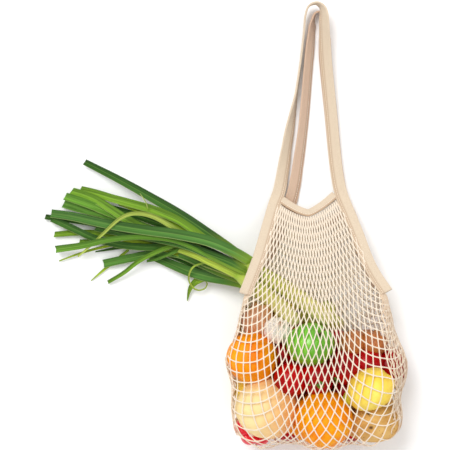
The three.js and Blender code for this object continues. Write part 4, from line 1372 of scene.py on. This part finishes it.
LEEKS["leek_c"] = [
    [(118, -124, 36), (84, -106, 35), (52, -90, 34), (30, -81, 33)],
    ((10, 10, 8.5), 0.16, 0.7, (0.3, 0.1), [
        (34, -86, 31), (-30, -62, 20), (-100, -33, 12), (-170, -16, 8), (-216, -13, 7), (-258, -16, 5)]),
    ((14, 12, 2), 0.12, 0.05, (0.3, 0), [
        (34, -88, 34), (-20, -68, 24), (-80, -42, 16), (-140, -34, 10), (-196, -42, 6)]),
    ((8, 9, 8), 0.2, 0.1, (0.2, 0), [
        (36, -86, 33), (-30, -58, 24), (-110, -24, 14), (-190, -2, 9), (-272, 11, 6)]),
    ((9, 11, 10.5), 0.14, 0.14, (0.3, 0), [
        (-38, -51, 34), (-82, -35, 28), (-120, -35, 24), (-156, -32, 20), (-196, -22, 15),
        (-227, -8, 12), (-261, 8, 10)]),
    ((6, 6, 2), 0.2, 0.86, (0.1, 0), [
        (34, -87, 28), (-30, -63, 24), (-90, -39, 24), (-135, -27, 22), (-177, -33, 14), (-218, -44, 8),
        (-251, -56, 4)]),
    ((11, 13, 12.5), 0.1, 0.3, (0, 0.35), [
        (34, -88, 36), (-10, -72, 31), (-70, -45, 24), (-100, -44, 17), (-141, -51, 11), (-182, -60, 6)]),
    ((6, 7.5, 5.5), 0.35, 0.6, (0.2, 0), [
        (32, -88, 38), (-20, -60, 38), (-63, -31, 40), (-90, -37, 33), (-130, -56, 19), (-154, -74, 11),
        (-177, -88, 5)]),
    ((4, 6, 4), 0.3, 0.45, (0.3, 0), [
        (-52, -30, 40), (-68, -38, 34), (-86, -46, 26), (-105, -53, 17), (-118, -56, 12)]),
    ((14, 17, 11), 0.1, 0.22, (0.4, 0), [
        (36, -93, 36), (10, -86, 31), (-30, -78, 24), (-58, -70, 16), (-86, -59, 10), (-112, -48, 6)]),
    ((5, 11, 1.5), 0.2, 0.74, (0, 0), [
        (-16, -82, 24), (-33, -83, 20), (-45, -88, 14), (-53, -98, 9), (-57, -116, 4)]),
    ((12, 12, 7), 0.1, 0, (0.3, 0), [
        (28, -88, 26), (-4, -76, 21), (-38, -64, 17), (-75, -50, 11), (-105, -40, 7)]),
    ((2, 2, 1), 0.1, 1, (0, 0), [
        (26, -85, 47), (-4, -74, 43), (-36, -62, 38)]),
    ((4, 5, 1.2), 0.2, 0.86, (0, 0), [
        (-146, -39, 5), (-164, -54, 3.5), (-177, -64, 3), (-190, -75, 3), (-203, -86, 2)]),
    ((6, 6, 5), 0.2, 0.6, (0.3, 0), [
        (-170, -22, 9), (-196, -25, 7), (-220, -26, 5)]),
    ((3, 2.6, 1.6), 0.1, 0.95, (0, 0), [
        (-26, -57, 52), (-47, -64, 36), (-54, -75, 27), (-54, -87, 20), (-47, -97, 17), (-39, -100, 13),
        (-30, -97, 10), (-27, -90, 12), (-29, -87, 15)]),
]
print("leaves:", [len(leaves) for stalk, *leaves in LEEKS.values()])

# %% Shapes of a leaf and a stalk
def leaf_skin(widths, fold, tone, cut, rib):
    """A keeled strip along the midrib, as wide as `widths` at its base, its middle and its tip.

    At the tip a point at the share q of the half width is moved on by (slant q + notch |q|) of
    it, with `cut` = (slant, notch). The leaf rolls to and fro by 9 degrees, and its edges ripple.
    """
    path = curve_through(np.array(rib, float), 14)
    t = np.linspace(0, 1, len(path))
    roll = np.radians(9) * np.sin(2 * PI * (1.4 * t + rib[0][0] / 7))
    across, up, _, _ = sides_of(path, roll)
    first, middle, last = widths
    half = np.interp(t, (0, 0.4, 0.7, 1), (first, middle, lerp(middle, last, 0.4), last)) / 2
    rings = strip(path, up, half, LEAF_THICK, 11, fold)
    edge = np.concatenate([np.linspace(1, -1, 11), np.linspace(-1, 1, 11)])
    length = travelled(path)[-1]
    near_tip = smooth(t, 1 - min(1, 1.5 * last / length), 1)[:, None]
    shift = (cut[0] * edge + cut[1] * np.abs(edge)) * half[:, None] * near_tip
    rings = rings + shift[..., None] * unit(np.gradient(path, axis=0))[:, None]
    ripple = 0.04 * half[:, None] * np.sin(2 * PI * (length / 34 * t[:, None] + 0.3 * edge))
    rings = rings + (ripple * edge**2 * smooth(t, 0.1, 0.4)[:, None])[..., None] * up[:, None]
    rings[..., 2] = np.maximum(rings[..., 2], 0.3)
    along = t[:, None] + 0 * edge
    return skin(rings * MM, u=np.append(edge, edge[0]), v=t, along=along, tone=tone + 0 * along)


def stalk_skin(points, tone):
    """A round stalk, blunt at its root and a little thinner where its leaves part."""
    path = curve_through(np.array(points, float), 12)
    t = np.linspace(0, 1, len(path))
    blunt = 1 - 0.35 * (1 - smooth(t, 0, 0.08)) - 0.7 * smooth(t, 0.6, 1)
    turn = 2 * PI * np.arange(40) / 40
    layer = 1 + 0.03 * np.sin(3 * turn[None, :] + 5 * t[:, None]) + 0.012 * np.sin(9 * turn)[None, :]
    across, up, _, _ = sides_of(path, 0 * t)
    rings = path[:, None] + (STALK_RADIUS * blunt[:, None] * layer)[..., None] * about(across, up, turn)
    along = -0.62 + 0.66 * t[:, None] + 0 * turn
    return skin(rings * MM, v=t, along=along, tone=tone + 0 * along)


print(f"a leaf is {LEAF_THICK} mm thick, and a stalk {2 * STALK_RADIUS} mm")

# %% Greens of the leek
def leek_finish(name):
    """Greens from a mark of each leaf, striped along it, one half in painted shade, and pale at the stalk.

    u runs from -1 to 1 across the upper face: a thin painted highlight along one edge, a half in
    painted shade, a light midrib, and a half painted brighter as if lit.
    """
    mat = finish_of(name, 0.5, Specular_IOR_Level=0.3)
    tone = mark(mat, "tone")
    across, length, _ = surface_map(mat)
    stretched = {
        axis: maths(mat, "MULTIPLY", value, by)
        for axis, value, by in (("X", across, 1.8), ("Y", length, 1.2), ("Z", tone, 40.0))
    }
    streak = noise(mat, 2.0, 5, add(mat, "CombineXYZ", stretched).outputs[0], 0.6)
    # greens by the tone mark: the leaf's own green, with the darkest given to the low leaves as painted shade
    leaf = ramp(
        mat, tone,
        (0.0, paint(50, 98, 18)), (0.24, paint(92, 146, 60)), (0.5, paint(124, 182, 60)),
        (0.74, paint(150, 192, 48)), (0.92, paint(204, 230, 36)), (1.0, paint(216, 230, 128)),
    )
    stripes = ramp(
        mat, streak,
        (0.34, (0.42, 0.46, 0.4, 1)), (0.52, (0.85, 0.86, 0.85, 1)), (0.66, (1, 1, 1, 1)),
    )
    leaf = mix(mat, 1.0, leaf, stripes, "MULTIPLY")
    # painted shade and light of the folded leaf: one half darker, the other brighter
    halves = ramp(
        mat, maths(mat, "MULTIPLY_ADD", across, 0.5, 0.5),
        (0.0, (0.56, 0.6, 0.54, 1)), (0.3, (0.7, 0.73, 0.68, 1)), (0.49, (0.8, 0.82, 0.78, 1)),
        (0.52, (1, 1, 1, 1)), (0.8, (0.95, 0.96, 0.95, 1)), (1.0, (0.8, 0.82, 0.8, 1)),
    )
    leaf = mix(mat, 1.0, leaf, halves, "MULTIPLY")
    low = maths(mat, "MULTIPLY_ADD", maths(mat, "SUBTRACT", streak, 0.5), 0.35, mark(mat, "along"))
    stalk = ramp(
        mat, maths(mat, "MULTIPLY_ADD", low, 0.6, 0.4),
        (0.0, paint(236, 226, 160)), (0.2, paint(206, 206, 104)), (0.4, paint(140, 172, 50)),
    )
    colour = cover(mat, stalk, leaf, low, (0.02, 0), (0.26, 1))
    colour = cover(mat, colour, paint(150, 186, 92), maths(mat, "ABSOLUTE", across), (0.0, 0.4), (0.1, 0))
    # a thin painted highlight along one edge of the leaf
    colour = cover(mat, colour, paint(196, 216, 130), across, (0.9, 0), (0.97, 0.75))
    vein = maths(mat, "SINE", maths(mat, "MULTIPLY", across, 60.0))
    return wire(mat, colour, vein, 0.12 * MM)


leaf_green = leek_finish("leek_leaf")
for name, (stalk, *leaves) in LEEKS.items():
    skins = [stalk_skin(stalk, 0.4), *[leaf_skin(*leaf) for leaf in leaves]]
    place(join(name + "_leaves", skins), leaf_green, name)
print("leeks made")

# %% [markdown]
# ## Stage, light and camera
#
# The bag lies on a pale floor, as on a table of a photo studio. Light comes from a wide soft sun at
# the upper left and a weaker one at the right, and from a plain white world, so the shadows are
# faint. The camera looks straight down from far off, as in the photo, and its lens is worked out
# from the size of one pixel of the photo, so that the picture has the photo's scale.

# %% Floor, light and camera
PHOTO_PIXELS, PIXEL = 450, 1.5 * MM
CAMERA_HEIGHT, FOCUS_HEIGHT = 6.0, 0.06
FLOOR_HALF = 40
scene = bpy.context.scene
scene.view_settings.view_transform = "Standard"

floor_mesh = bpy.data.meshes.new("floor")
corners = [(x * FLOOR_HALF, y * FLOOR_HALF, 0) for x, y in ((-1, -1), (1, -1), (1, 1), (-1, 1))]
floor_mesh.from_pydata(corners, [], [(0, 1, 2, 3)])
floor = bpy.data.objects.new("floor", floor_mesh)
scene.collection.objects.link(floor)
pale = finish_of("pale_floor", 0.9)
wire(pale, ramp(pale, noise(pale, 3, 1), (0, paint(252, 252, 252)), (1, paint(255, 255, 255))))
floor_mesh.materials.append(pale)

world = bpy.data.worlds.new("studio")
scene.world = world
world.use_nodes = True
sky = world.node_tree.nodes["Background"]
sky.inputs["Color"].default_value = (1, 1, 1, 1)
sky.inputs["Strength"].default_value = 0.7


def soft_sun(name, place_at, spread, power):
    """Even light from one side: a sun as wide as a big diffuser, in degrees."""
    light = bpy.data.lights.new(name, "SUN")
    light.angle, light.energy = np.radians(spread), power
    holder = bpy.data.objects.new(name, light)
    holder.rotation_euler = (-Vector(place_at)).to_track_quat("-Z", "Y").to_euler()
    scene.collection.objects.link(holder)


soft_sun("key", (-0.55, 0.75, 1.6), 30, 1.75)
soft_sun("fill", (0.9, -0.3, 1.6), 60, 0.5)

lens = bpy.data.cameras.new("camera")
lens.sensor_width = 36
lens.lens = lens.sensor_width * (CAMERA_HEIGHT - FOCUS_HEIGHT) / (PHOTO_PIXELS * PIXEL)
lens.clip_end = 20
camera = bpy.data.objects.new("camera", lens)
camera.location = (0, -PIXEL, CAMERA_HEIGHT)
scene.collection.objects.link(camera)
scene.camera = camera
print(f"camera {CAMERA_HEIGHT:.0f} m up, with a lens of {lens.lens:.0f} mm")
